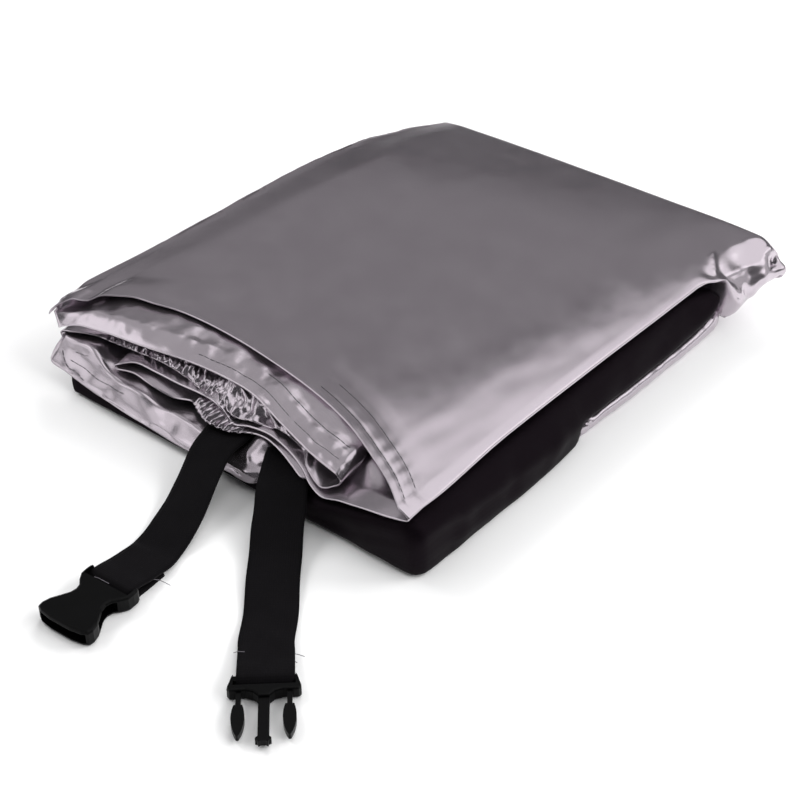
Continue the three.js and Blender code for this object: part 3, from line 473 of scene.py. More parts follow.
def layer_point(part, t, rim, run, curl):
    """A point of a layer in millimetres: along its hem by t, then in from the hem."""
    hem, along = part["curve"](t), t * HEM_LENGTH
    bend_x = hem.get("bend_x", hem["x"] - hem.get("out", 0))
    bend_y = hem.get("bend_y", hem["y"] + hem.get("deep", part["rim_depth"]))
    bend_z = hem.get("bend_z", hem["z"] + hem.get("rise", part["rim_rise"]) + hem.get("hang", 0))
    if run <= 0:
        point = Vector((hem["x"], hem["y"], hem["z"])).lerp(Vector((bend_x, bend_y, bend_z)), rim)
        point.z = mix(hem["z"], bend_z, mix(rim, math.sin(rim * math.pi / 2), part["rounded"]))
        rim_length = math.dist((hem["y"], hem["z"]), (bend_y, bend_z))
        raised = part["relief"](hem, rim * rim_length, point.x, point.y, along)
        return point + Vector((0, -part["lean"], 1)) * raised
    y = mix(bend_y, part["back_y"], run)
    beyond = ramp(y, *CORNER_ALONG)
    left = look_up(outline, "y", "left", y) + part["inset"]
    right = look_up(outline, "y", "right", y) - part["right_inset"] - part["tucked"] * (1 - beyond)
    full = mix(left, right, clamp01((bend_x - PACKET_LEFT) / (FOLD_RIGHT - PACKET_LEFT)))
    spread = ease((y - bend_y) / FULL_WIDTH_AFTER)
    x = mix(bend_x, full, spread)
    if part["pulled_in"]:
        end = PULL_END["x"] - (PULL_END["widest"] - bend_x) * PULL_END["spread"]
        x = mix(x, min(x, end), ramp(y, *PULL_ALONG))
    z = top_height(x, y) * mix(*part["share"], ramp(x, *SHARE_CHANGE))
    if part["back_dip"]:
        dip = mix(*part["back_dip"], ramp(y, *CORNER_RISE))
        z = mix(z, dip, ramp(x, *CORNER_ACROSS) * beyond)
    z += part["right_lift"] * ramp(x, *FOLD_LIFT) * (1 - beyond)
    z -= part["left_droop"] * ramp(x, *DROOP) * spread
    z = mix(bend_z, z, ease((y - bend_y) / hem.get("reach", part["reach"])))
    raised = part["relief"](hem, part["rim_depth"] + y - bend_y, x, y, along)
    z += raised
    y -= raised * part["lean"] * bump(y - bend_y, LEAN_REACH)
    if part["curl_radius"]:
        z -= corner_drop(x, y)
        turn = curl * part["curl_angle"]
        y += part["curl_radius"] * math.sin(turn)
        z -= part["curl_radius"] * (1 - math.cos(turn))
    else:
        y += curl * BACK_SPREAD
    return Vector((x, y, z))


print("a point of the plain layer, mm:", [round(c, 1) for c in layer_point(plain, 0.5, 1, 0.5, 0)])

# %% Rows of a folded panel
def turn_points(start, end, side, bulge, steps):
    """Points of the turn from the end of one layer to the start of the next."""
    points = []
    for n in range(1, steps + 1):
        point = start.lerp(end, n / (steps + 1))
        point.x += side * bulge * math.sin(math.pi * n / (steps + 1))
        points.append(point)
    return points


def way_in(rim_steps, curl_steps, *zones):
    """Stations from the hem inwards: the rim, zones of (share of the run, rows) and the curl."""
    stations = [(n / rim_steps, 0, 0) for n in range(rim_steps + 1)]
    reached = 0.0
    for share, steps in zones:
        stations += [(1, mix(reached, share, n / steps), 0) for n in range(1, steps + 1)]
        reached = share
    return stations + [(1, 1, n / curl_steps) for n in range(1, curl_steps + 1)]


def folded_rows(layers, turns, stations):
    """Every row of a panel's points, hem row first, each row through all layers and turns."""
    rows = []
    for place in stations:
        row = []
        for n, part in enumerate(layers):
            points = [layer_point(part, t, *place) for t in part["stations"]]
            if n:
                row += turn_points(row[-1], points[0], *turns[n - 1])
            row += points
        rows.append(row)
    return rows


print("rows of such a layer:", len(folded_rows([plain], [], way_in(4, 1, (1, 8)))))

# %% Rows of points as one sheet
def running_length(points):
    """Length of cloth from the first point to each of them, in metres."""
    lengths = [0.0]
    for a, b in zip(points, points[1:]):
        lengths.append(lengths[-1] + (b - a).length * MM)
    return lengths


def mesh_object(name, bm):
    """An object with the mesh that a bmesh holds."""
    mesh = bpy.data.meshes.new(name)
    bm.to_mesh(mesh)
    bm.free()
    return add_object(name, mesh)


def cloth_sheet(name, rows, thickness):
    """A grid of cloth carried to its rows of points, with a UV map in metres of cloth."""
    count_v, count_u = len(rows), len(rows[0])
    across = running_length(rows[count_v // 3])
    along = running_length([row[count_u // 8] for row in rows])
    bm = bmesh.new()
    bmesh.ops.create_grid(bm, x_segments=count_u - 1, y_segments=count_v - 1, size=0.5)
    place = {}
    for vert in bm.verts:
        i = round((vert.co.x + 0.5) * (count_u - 1))
        j = round((vert.co.y + 0.5) * (count_v - 1))
        place[vert.index] = (i, j)
        vert.co = rows[j][i] * MM
    uv = bm.loops.layers.uv.new("cloth")
    for face in bm.faces:
        face.smooth = True
        for loop in face.loops:
            i, j = place[loop.vert.index]
            loop[uv].uv = (across[i], along[j])
    bm.normal_update()
    area = sum(face.calc_area() for face in bm.faces)
    sheet = mesh_object(name, bm)
    shell = sheet.modifiers.new("thickness", "SOLIDIFY")
    shell.thickness = thickness * MM
    shell.offset = 0
    sheet["flat"] = (across[-1], along[-1])
    sheet["area"] = area
    print(name, len(sheet.data.polygons), "faces,", round(across[-1], 3), "by",
          round(along[-1], 3), "m, area", round(area, 4))
    return sheet


def press(sheet, height):
    """Move each point of a sheet along its normal by height(point in mm, normal), also in mm."""
    bm = bmesh.new()
    bm.from_mesh(sheet.data)
    bm.normal_update()
    moves = [v.normal * height(v.co / MM, v.normal) * MM for v in bm.verts]
    for vert, move in zip(bm.verts, moves):
        vert.co += move
    bm.to_mesh(sheet.data)
    bm.free()
    print(sheet.name, "moved by up to", round(max(m.length for m in moves) / MM, 1), "mm")


print("from corner to corner, m:", round(running_length([Vector(), Vector((300, 400, 0))])[1], 3))

# %% Build the silver outer panel
# A turn is given by its side, its bulge in millimetres and its number of points.
CLOTH_THICKNESS = 0.6
outer_layers = [
    layer(top_hem, top_relief, 160, (1, 1), rim_rise=0.1, reach=20, left_droop=2.2,
          back_y=PACKET_BACK - 3, curl_radius=6, curl_angle=2.4),
    layer(second_hem, second_relief, 100, (0.7, 0.795), rim_rise=2.5, reach=18, inset=12,
          right_lift=1.5, back_dip=(5.2, 18), tucked=6),
    layer(strap_hem, strap_relief, 150, (0.575, 0.58), reach=24, lean=0.8, inset=12,
          right_inset=10, pulled_in=True, busy="gather"),
    layer(lower_hem, hidden_relief, 14, (0.235, 0.26), inset=6, right_inset=10, pulled_in=True),
]
outer_turns = [(1, 6.8, 20), (-1, 2.2, 4), (1, 4, 4)]
outer_way_in = way_in(12, 8, (0.06, 12), (0.76, 28), (1, 40))
silver_outer = cloth_sheet(
    "silver_outer_cloth", folded_rows(outer_layers, outer_turns, outer_way_in), CLOTH_THICKNESS,
)

# %% Crumple its right corner
corner_creases = creases(
    (1.1, 2.2, (107, 122, 41), (112, 114.5, 41), (120, 104, 39)),
    (4, -0.6, (115, 105.5, 39), (119, 99, 39), (123.5, 92, 37)),
    (2.4, -1.2, (125, 106, 35), (128, 116, 33.2), (130.5, 128, 31.8), (133, 138, 31)),
    (1.8, 1.1, (128, 106, 31), (131, 116, 29.5), (133, 127, 29)),
    (1.1, -2.2, (124, 97, 33), (127.5, 104, 31), (130, 111, 26), (131, 118, 20)),
    (1.6, 1.1, (125.5, 98, 29), (128, 104, 26), (129, 109, 21), (128, 112, 15)),
    (2.4, -1, (132, 122, 24), (131, 127, 15), (130, 131, 10)),
    (1.3, 1.8, (128, 139.5, 34), (128, 145, 37.5), (129.5, 150, 38)),
    (1.2, 0.6, (137.5, 149.5, 29), (136.5, 143, 28)),
)
HOLLOW_PLACE, HOLLOW_DEPTH, HOLLOW_WIDTH = Vector((136.6, 148.2, 32.6)), 7, 4.8


def corner_relief(point, normal):
    hollow = -HOLLOW_DEPTH * bump((point - HOLLOW_PLACE).length, HOLLOW_WIDTH)
    crushed = lumps(*point, (2.2, 9, 47)) * ramp(point.y, 100, 12)
    crushed *= ramp(abs(normal.x), 0.35, 0.3) * ramp(point.z, 38, -8)
    return crease_height(corner_creases, point) + hollow + crushed


press(silver_outer, corner_relief)

# %% Build the silver inner panel
inner_layers = [
    layer(band_hem, band_relief, 150, (0.955, 0.96), rim_depth=14, rounded=0.6, inset=1.5,
          right_inset=12),
    layer(gathered_hem, gathered_relief, 250, (0.8, 0.865), reach=16, lean=0.8, inset=6,
          right_inset=12, busy="crumple"),
    layer(skirt_hem, skirt_relief, 130, (0.465, 0.48), reach=80, inset=6, right_inset=14,
          pulled_in=True),
    layer(inner_hem, hidden_relief, 14, (0.355, 0.375), inset=10, right_inset=14,
          pulled_in=True),
]
inner_turns = [(1, 2.6, 5), (-1, 4, 7), (1, 2, 3)]
inner_way_in = way_in(16, 1, (0.08, 16), (1, 24))
silver_inner = cloth_sheet(
    "silver_inner_cloth", folded_rows(inner_layers, inner_turns, inner_way_in), CLOTH_THICKNESS,
)

# %% Crease the flap beside the straps
FLAP_BACK, FLAP_LEFT, FLAP_RIGHT = -140, 0, 40
flap_creases = creases(
    (1.2, 1.2, (4, -162, 11), (12, -162.6, 10.8), (20, -162.2, 10.4), (27, -160.4, 9)),
    (1.6, -0.8, (6, -157, 13), (14, -158.4, 12.6), (24, -157.4, 12.4)),
    (2.2, 0.8, (13, -152, 15), (18, -155, 14), (25, -157, 12.6)),
)


def flap_relief(point, normal):
    if point.y > FLAP_BACK or not FLAP_LEFT <= point.x <= FLAP_RIGHT:
        return 0
    return crease_height(flap_creases, point) + lumps(*point, (0.5, 6, 71))


press(silver_inner, flap_relief)

# %% [markdown]
# ## The black lower panel
# The black cloth is wrapped round two sides and the underside like the paper of a parcel. It
# could be pushed over a box by a simulation, but its folds are few and its corner is crisp, so
# it is lofted from cross sections: each row of the table is one section, from its inner end
# underneath, round the lower bend, up the wall and in over the top of the lower layers.

# %% Sections of the black cloth
SEAM, LOW = -21.95, SOLID_HALF
black_sections = table("keel sill ridge crest tuck", [
    ((-100, SEAM, LOW), (-101, -167, LOW), (-106, -164.6, 5), (-110, -160.5, 9.4),
     (-108, -138, 8.8)),
    ((-60, SEAM, LOW), (-60, -165, LOW), (-60, -162.4, 4.6), (-60, -158.5, 8.6), (-60, -137, 8)),
    ((-18, SEAM, LOW), (-17, -162, LOW), (-17, -160, 4.2), (-17, -156, 7.8), (-17, -136, 7.4)),
    ((12, SEAM, LOW), (18, -161.3, LOW), (18, -159.6, 4.2), (18, -156, 7.8), (18, -135, 7.4)),
    ((26, SEAM, LOW), (36, -160.7, LOW), (36, -159.8, 5), (36, -156.5, 9), (36, -134, 8.8)),
    ((36, SEAM, LOW), (48, -160.3, LOW), (48, -160, 6.2), (48, -158, 10.6), (48, -134, 10.6)),
    ((40, SEAM, LOW), (56, -160.2, LOW), (56, -160.2, 7.2), (56, -158.5, 11.8), (56, -134, 12)),
    ((44, SEAM, LOW), (65, -160.1, LOW), (65, -160.3, 9), (65, -159, 14), (65, -134, 14.4)),
    ((48, SEAM, LOW), (75, -159.6, LOW), (75, -160, 10), (75, -158.8, 17.2), (75, -134, 17.2)),
    ((54, SEAM, LOW), (92, -158.8, LOW), (92, -159.4, 12), (92, -158.2, 21.6), (86, -134, 21)),
    ((60, SEAM, LOW), (117, -157.6, LOW), (116.5, -158, 15), (113, -157, 26.6), (94, -133, 24)),
    ((63, SEAM, LOW), (126.5, -157, LOW), (126, -157, 18), (119.5, -155.5, 28.6), (97, -131.5, 25)),
    ((66, SEAM, LOW), (130, -152.5, LOW), (130, -152.5, 24), (121.5, -151.5, 29), (99, -129, 25.4)),
    ((72, SEAM, LOW), (130.3, -138, LOW), (130.5, -138, 24), (120, -138, 28.2), (100, -124, 25.6)),
    ((77, SEAM, LOW), (130.4, -117, LOW), (130.8, -117, 18), (119, -117, 27.4), (100, -112, 26)),
    ((84, -22.6, LOW), (130, -80, LOW), (130.6, -80, 15.6), (118.5, -80, 27.4), (100, -80, 26)),
    ((92, -24, LOW), (128.6, -46, LOW), (129.8, -46, 15.6), (118.5, -46, 27.8), (100, -46, 26.4)),
    ((104, -26.5, LOW), (127.2, -28, LOW), (129, -28, 15.2), (118.5, -28, 28.2), (100, -28, 26.8)),
    ((113, -23.6, 10.9), (124.8, -23.8, 10.9), (128.4, -23, 15), (118.5, -21, 28.4),
     (100, -21, 27)),
    ((114, 10, 10.9), (124.4, 10, 10.9), (128, 10, 14.8), (118.5, 10, 29), (100, 10, 27.6)),
    ((114, 50, 10.9), (124.4, 50, 10.9), (127.6, 50, 14.6), (117.5, 50, 29), (100, 50, 27.6)),
    ((113, 82, 11.2), (123.6, 82, 11.2), (127, 82, 15.8), (116, 80, 28), (100, 78, 26.8)),
    ((112, 94, 12.8), (123.5, 95, 13), (127.5, 96, 17.6), (118, 95, 28.4), (102, 90, 26.4)),
    ((111, 99, 16), (122, 101.5, 16.6), (127, 103, 20), (120, 102.5, 28), (103, 95, 26)),
    ((110, 102, 19), (121, 105, 20), (125.5, 107, 22.6), (119.5, 106.5, 26.6), (104, 98, 25.6)),
])
print("black panel:", len(black_sections), "sections")

# %% Loft a wrapped sheet
BEND_SHARE, BEND_POINTS = 0.42, 5


def rounded_section(points, steps, radius):
    """Points of a section, evenly spread over each stretch, with its inner bends rounded."""
    rounded = [points[0]]
    for before, here, after in zip(points, points[1:], points[2:]):
        enter = here.lerp(before, min(BEND_SHARE, radius / (before - here).length))
        leave = here.lerp(after, min(BEND_SHARE, radius / (after - here).length))
        for k in range(BEND_POINTS):
            w = k / (BEND_POINTS - 1)
            rounded.append(enter.lerp(here, w).lerp(here.lerp(leave, w), w))
    rounded.append(points[-1])
    spread = [rounded[0]]
    for n, (a, b) in enumerate(zip(rounded, rounded[1:])):
        count = 1 if n % BEND_POINTS else steps[n // BEND_POINTS]
        spread += [a.lerp(b, k / count) for k in range(1, count + 1)]
    return spread


def lofted_rows(sections, steps, between, radius):
    """Rows of points through all sections, with more sections laid straight between them."""
    rows = []
    for a, b, count in zip(sections, sections[1:], between):
        for k in range(count):
            points = [p.lerp(q, k / count) for p, q in zip(a, b)]
            rows.append(rounded_section(points, steps, radius))
    rows.append(rounded_section(sections[-1], steps, radius))
    return rows


square = [Vector((0, 0, 0)), Vector((9, 0, 0)), Vector((9, 9, 0))]
print("a rounded corner has", len(rounded_section(square, (1, 1), radius=3)), "points")

# %% Build the black panel
SECTION_SPACING = 3.2
BLACK_THICKNESS = 0.7
sections = [[Vector(point) for point in row.values()] for row in black_sections]
ridge = [points[2] for points in sections]
between = [max(2, round((b - a).length / SECTION_SPACING)) for a, b in zip(ridge, ridge[1:])]
black_cloth = cloth_sheet(
    "black_cloth", lofted_rows(sections, (14, 6, 7, 10), between, radius=3), BLACK_THICKNESS,
)


def relax(sheet, factor, times):
    """Ease the sheet's corners: each inner point moves towards the middle of its neighbours."""
    bm = bmesh.new()
    bm.from_mesh(sheet.data)
    inner = [v for v in bm.verts if not v.is_boundary]
    for _ in range(times):
        bmesh.ops.smooth_vert(
            bm, verts=inner, factor=factor, use_axis_x=True, use_axis_y=True, use_axis_z=True,
        )
    bm.to_mesh(sheet.data)
    bm.free()


relax(black_cloth, factor=0.5, times=2)

# %% Crease the black panel
FLOOR_BEND = 3
black_creases = creases(
    (5, -0.8, (131, -128, 4), (130, -122, 14), (126, -116, 24)),
    (6, 0.7, (131, -92, 4), (130, -84, 14), (125, -78, 24)),
    (5, -0.7, (131, -60, 3), (130, -50, 12), (126, -42, 22)),
    (6, 0.6, (129, 0, 12), (127, 12, 20), (122, 22, 26)),
    (5, -0.8, (98, -160, 3), (104, -159, 12), (108, -158, 20)),
    (5, 0.7, (72, -160, 3), (80, -159, 10), (86, -158, 17)),
    (4, 0.9, (130, -150, 22), (131, -120, 15), (131, -60, 13)),
    (3, -0.7, (131, -150, 12), (131, -110, 7), (130, -70, 5)),
    (3.5, 0.7, (60, -160, 5), (90, -160, 10), (122, -158, 20)),
    (5, -0.7, (118, 60, 26), (124, 20, 22), (126, -20, 20)),
)


def black_relief(point, normal):
    """Creases and lumps all over, but none where the cloth lies flat on the floor."""
    soft = lumps(*point, (0.7, 30, 51), (0.25, 10, 53))
    side = 1 - ramp(-normal.z, 0.5, 0.4) if point.z < FLOOR_BEND else 1
    return side * (soft + crease_height(black_creases, point))


press(black_cloth, black_relief)

# %% [markdown]
# ## The silver end panel
# Past a seam at the middle of the packet the underside is silver again. Its cloth lies flat on
# the floor, turns up into a low wall on the folded side and tucks back in under the black.

# %% Build the end panel
END_SPACING = 1.1
TUCK_DROP = 0.4
end_rows = table("y left wall tuck height", [
    (-21.6, -106, 124.6, 114, 8), (20, -108, 125.6, 114, 8), (72, -108, 125.4, 113, 8),
    (96, -107, 125, 112, 9.2), (104, -107, 124.8, 112, 11.4), (111, -106, 123, 110, 11.6),
    (118, -105, 115, 103, 8.6), (130, -103, 98, 86, 4.4), (144, -99, 92, 80, 4.4),
])
end_sections = [
    [Vector((row[side], row["y"], z)) for side, z in (
        ("left", SOLID_HALF), ("wall", SOLID_HALF), ("wall", row["height"]),
        ("tuck", row["height"] - TUCK_DROP),
    )]
    for row in end_rows
]
between = [max(2, round((b["y"] - a["y"]) / END_SPACING)) for a, b in zip(end_rows, end_rows[1:])]
end_cloth = cloth_sheet(
    "silver_end_cloth", lofted_rows(end_sections, (60, 6, 8), between, radius=5), CLOTH_THICKNESS,
)
end_creases = creases(
    (1.2, 1.9, (126, -20.6, 0), (126, -20.4, 4), (124.5, -20.2, 8), (116, -20, 9)),
    (1.1, -1.4, (126, -17.6, 0), (126, -17.4, 5), (123, -17.2, 9), (116, -17, 9)),
    (1.4, 1.2, (126, -14.6, 2), (125, -12, 8), (121, -4, 9)),
)


def end_relief(point, normal):
    soft = lumps(*point, (0.4, 12, 61), (0.2, 5, 63))
    return ramp(point.x, 100, 12) * soft + crease_height(end_creases, point)


press(end_cloth, end_relief)

# %% [markdown]
# ## The straps
# Each strap is a length of 25 mm webbing. It leaves the casing, drops to the floor in a loose
# curve, runs over the bar of its buckle half and is sewn back under itself. A ribbon swept along
# a curve would turn about its own axis, so the table gives the heading and the roll at each row.

# %% Routes of the webbing
WEBBING_WIDTH, WEBBING_THICKNESS = 25, 1.3
BAR_DEPTH, BAR_BOTTOM, BAR_TOP = 2.8, 2.4, 4.8
GAP_TO_BAR = 1.66
left_route = table("x y z heading roll", [
    (-2, -140, 17, -76, 2), (0, -149, 17.2, -76, 3), (1.6, -157, 17.2, -76, 6),
    (3.4, -165, 16.2, -72, 13), (6.2, -173.6, 13, -66, 19), (9.4, -181.5, 10, -62, 20),
    (13.1, -190, 7.5, -61, 18), (17.4, -201, 4.5, -62, 11), (21.2, -211, 2.8, -67, 7),
    (23.8, -221, 1.5, -75, 2),
])
right_route = table("x y z heading roll", [
    (33.5, -139, 16.2, -66, 0), (39.2, -148, 16.4, -60, 0), (45, -156.2, 16.8, -55, 0),
    (51, -164.6, 16.4, -52, 1), (57.3, -172.5, 12.6, -50, 2), (62.5, -179.8, 8.6, -49, 2),
    (70.4, -189.2, 4.4, -48.5, 1), (81, -202, 2.4, -48, 0), (94.4, -216.8, 1.2, -47.5, 0),
])
bar_loop = table("y z", [
    (-24, 2.6), (-17, 3.4), (-10, 4.4), (-4, BAR_TOP + GAP_TO_BAR - 0.7),
    (0, BAR_TOP + GAP_TO_BAR), (BAR_DEPTH - 0.6, BAR_TOP + GAP_TO_BAR),
    (BAR_DEPTH + GAP_TO_BAR - 0.3, BAR_TOP + 0.1),
    (BAR_DEPTH + GAP_TO_BAR, (BAR_BOTTOM + BAR_TOP) / 2),
    (BAR_DEPTH + GAP_TO_BAR - 0.3, BAR_BOTTOM - 0.1),
    (BAR_DEPTH - 0.8, BAR_BOTTOM - GAP_TO_BAR), (0, BAR_BOTTOM - GAP_TO_BAR - 0.1),
    (-3.4, 1.05), (-8, 0.75), (-19, 0.75),
])
left_buckle = {"x": 28.7, "y": -251, "heading": -84}
right_buckle = {"x": 121.5, "y": -247.3, "heading": -46}


def strap_rows(route, buckle):
    """A strap's table: its route, and then the loop round its buckle's bar."""
    heading = math.radians(buckle["heading"])
    return route + [{
        "x": buckle["x"] + math.cos(heading) * row["y"],
        "y": buckle["y"] + math.sin(heading) * row["y"],
        "z": row["z"], "heading": buckle["heading"], "roll": 0,
    } for row in bar_loop]


print("left strap:", len(strap_rows(left_route, left_buckle)), "rows")

# %% Build the straps
STEPS_PER_ROW, STEPS_ACROSS = 8, 10
EDGE_WAVES, WAVE_HEIGHT, WAVE_END = ((0.25, 61, 0), (0.2, 23, 1)), 0.8, (0.35, 0.1)


def strap_point(curve, t, side):
    """A point of the webbing at t along it, where side runs from -1 to 1 across it."""
    at = curve(t)
    angle, roll = math.radians(at["heading"]), math.radians(at["roll"])
    across = Vector((-math.sin(angle), math.cos(angle), math.tan(roll))).normalized()
    return Vector((at["x"], at["y"], at["z"])) + across * side * WEBBING_WIDTH / 2


def webbing_strap(name, route, buckle):
    """The webbing of one strap. Its edges wave a little until it nears the buckle."""
    stops = strap_rows(route, buckle)
    curve, steps = curve_through(stops), (len(stops) - 1) * STEPS_PER_ROW
    rows = []
    for n in range(steps + 1):
        t = n / steps
        wave = sum(height * math.sin(t * rate + shift) for height, rate, shift in EDGE_WAVES)
        row = []
        for k in range(STEPS_ACROSS + 1):
            side = 2 * k / STEPS_ACROSS - 1
            point = strap_point(curve, t, side)
            point.z += wave * abs(side) ** 3 * (1 - ramp(t, *WAVE_END)) * WAVE_HEIGHT
            row.append(point)
        rows.append(row)
    return cloth_sheet(name, rows, WEBBING_THICKNESS)


strap_left = webbing_strap("webbing_left", left_route, left_buckle)
strap_right = webbing_strap("webbing_right", right_route, right_buckle)

# %% [markdown]
# ## Stitching
# Sewing shows as short dark threads that dip into the cloth. A dashed texture would vanish at
# the edges, so each stitch is a tiny rod, laid on the cloth between two places on its surface.
# One mesh holds all the stitches of a panel, and each rod has only a few faces.

# %% Lines for the stitches
def hem_line(part, depth, start, end, lift=0.42, count=260):
    """Points just above a layer, a fixed depth in from its hem, between two places along it."""
    points = []
    for n in range(count + 1):
        t = mix(start, end, n / count)
        rim = min(1, depth / part["rim_depth"])
        way = part["back_y"] - (part["curve"](t)["y"] + part["rim_depth"])
        run = max(0, depth - part["rim_depth"]) / way
        points.append(layer_point(part, t, rim, run, 0) + Vector((0, 0, lift)))
    return points


def traced_line(part, stops, lift=0.35, count=24):
    """Points just above the rim of a layer, through stops of (place along the hem, rim share)."""
    points = []
    for (t0, rim0), (t1, rim1) in zip(stops, stops[1:]):
        for n in range(count):
            at = layer_point(part, mix(t0, t1, n / count), mix(rim0, rim1, n / count), 0, 0)
            points.append(at + Vector((0, -lift, lift)))
    return points


skirt, top, band = inner_layers[2], outer_layers[0], inner_layers[0]
silver_lines = [
    traced_line(skirt, [(0.112, 0.55), (0.14, 0.25), (0.21, 0.1)]),
    traced_line(skirt, [(0.15, 0.45), (0.2, 0.4), (0.245, 0.45), (0.325, 0.75)]),
    traced_line(skirt, [(0.16, 0.7), (0.19, 0.72), (0.215, 0.85)]),
    hem_line(top, HEM_ROWS[0], 0.757, 0.995),
    hem_line(top, HEM_ROWS[1], 0.768, 0.995),
    hem_line(band, HEM_ROWS[0], 0.55, 0.995),
    hem_line(band, HEM_ROWS[1], 0.72, 0.995),
]
print("lines:", len(silver_lines), "with", sum(len(line) for line in silver_lines), "points")

# %% Stitches as rods of thread
THREAD_RADIUS = 0.17


def thread_rods(bm, points, length, gap):
    """Rods along a line of points, each length long with a gap after it."""
    place, wanted, start = 0.0, 0.0, None
    for a, b in zip(points, points[1:]):
        run = (b - a).length
        while run > 0 and wanted <= place + run:
            here = a.lerp(b, (wanted - place) / run)
            if start is None:
                start, wanted = here, wanted + length
            else:
                rod = here - start
                turn = rod.to_track_quat("Z", "Y").to_matrix().to_4x4()
                middle = Matrix.Translation((start + here) / 2 * MM) @ turn
                bmesh.ops.create_cone(
                    bm, cap_ends=True, segments=5, radius1=THREAD_RADIUS * MM,
                    radius2=THREAD_RADIUS * MM, depth=rod.length * MM, matrix=middle,
                )
                start, wanted = None, wanted + gap
        place += run


def stitch_piece(name, lines, length, gap):
    """All the stitches of a piece as one mesh."""
    bm = bmesh.new()
    for points in lines:
        thread_rods(bm, points, length, gap)
    piece = mesh_object(name, bm)
    print(name, len(piece.data.polygons), "faces")
    return piece


silver_stitches = stitch_piece("silver_stitches", silver_lines, length=2.6, gap=1)

# %% Frayed thread ends
# Where the webbing is sewn back under itself, a few thread ends stick out past its edges.
thread_ends = [
    [(39.5, -238, 3.4), (42, -237, 4), (45, -236, 3.6), (48.6, -234.6, 2.2)],
    [(104.8, -243.4, 4.6), (102.6, -245.4, 4.8), (100.4, -247.2, 3.6)],
    [(20.6, -256.4, 6.4), (23.4, -256.4, 7.4), (26.6, -256, 7.4), (29.8, -255, 6.5)],
    [(119.4, -229.2, 2.6), (122.4, -228, 2.8), (125.6, -226.4, 2.2)],
    [(120.8, -231.2, 2.4), (123.6, -231.6, 2.4), (125.6, -231.4, 1.8)],
]
strap_threads = stitch_piece(
    "strap_threads", [[Vector(p) for p in line] for line in thread_ends], length=1, gap=0.02,
)

# %% [markdown]
# ## Finishes
# The silver is a thin metal-bearing coat on woven cloth: half mirror, half paint, broken up by
# the weave under it. The black cloth and the webbing are matt and very dark, and the buckle is
# smooth moulded plastic. The weave and the soft mottling are shared, so each is a node group
# with its own inputs, placed in every material with that cloth's values.

# %% Helpers and the weave group
def set_inputs(tree, node, **values):
    """Set a node's inputs by name or number (in0), to a value or another node's socket."""
    for name, value in values.items():
        socket = node.inputs[int(name[2:]) if name.startswith("in") else name.replace("_", " ")]
        if isinstance(value, bpy.types.NodeSocket):
            tree.links.new(value, socket)
        else:
            socket.default_value = value


def add_node(tree, kind, settings=None, **values):
    """A node with its own settings, and with its inputs set by name."""
    node = tree.nodes.new(kind)
    for name, value in (settings or {}).items():
        setattr(node, name, value)
    set_inputs(tree, node, **values)
    return node


def group_tree(name, output, **inputs):
    """A node group that works on a vector and on named numbers, and puts out one value."""
    tree = bpy.data.node_groups.new(name, "ShaderNodeTree")
    tree.interface.new_socket("Vector", in_out="INPUT", socket_type="NodeSocketVector")
    for socket, value in inputs.items():
        tree.interface.new_socket(
            socket.replace("_", " "), in_out="INPUT", socket_type="NodeSocketFloat",
        ).default_value = value
    tree.interface.new_socket(output, in_out="OUTPUT", socket_type="NodeSocketFloat")
    start, end = tree.nodes.new("NodeGroupInput"), tree.nodes.new("NodeGroupOutput")
    print("group", name, "with", list(start.outputs.keys())[:-1])
    return tree, start.outputs, end


def make_weave_group():
    """Height of a plain weave: two sets of threads that cross, on a UV map in metres."""
    tree, given, end = group_tree("woven_threads", "Height", Threads=1500)
    warp, weft = (
        add_node(tree, "ShaderNodeTexWave", {"wave_type": "BANDS", "bands_direction": direction},
                 Vector=given["Vector"], Scale=given["Threads"], Distortion=0).outputs["Fac"]
        for direction in "XY"
    )
    both = add_node(tree, "ShaderNodeMath", {"operation": "ADD"}, in0=warp, in1=weft)
    set_inputs(tree, end, Height=both.outputs[0])
    return tree


weave_group = make_weave_group()

# %% The mottling group
def make_mottle_group():
    """A soft mask of lumps and finer specks, on Object coordinates."""
    tree, given, end = group_tree("soft_mottle", "Mask", Lumps=40, Specks=900, Speck_Share=0.3)
    coarse = add_node(tree, "ShaderNodeTexNoise", Vector=given["Vector"], Scale=given["Lumps"],
                      Detail=4, Roughness=0.55)
    fine = add_node(tree, "ShaderNodeTexNoise", Vector=given["Vector"], Scale=given["Specks"],
                    Detail=2, Roughness=0.6)
    blend = add_node(tree, "ShaderNodeMix", Factor=given["Speck Share"],
                     A=coarse.outputs["Fac"], B=fine.outputs["Fac"])
    set_inputs(tree, end, Mask=blend.outputs["Result"])
    return tree


mottle_group = make_mottle_group()

# %% One recipe for the finishes
MASK_DARK, MASK_LIGHT = 0.3, 0.7


def new_material(name):
    """A new material, with its node tree and its shader."""
    material = bpy.data.materials.new(name)
    material.use_nodes = True
    return material, material.node_tree, material.node_tree.nodes["Principled BSDF"]


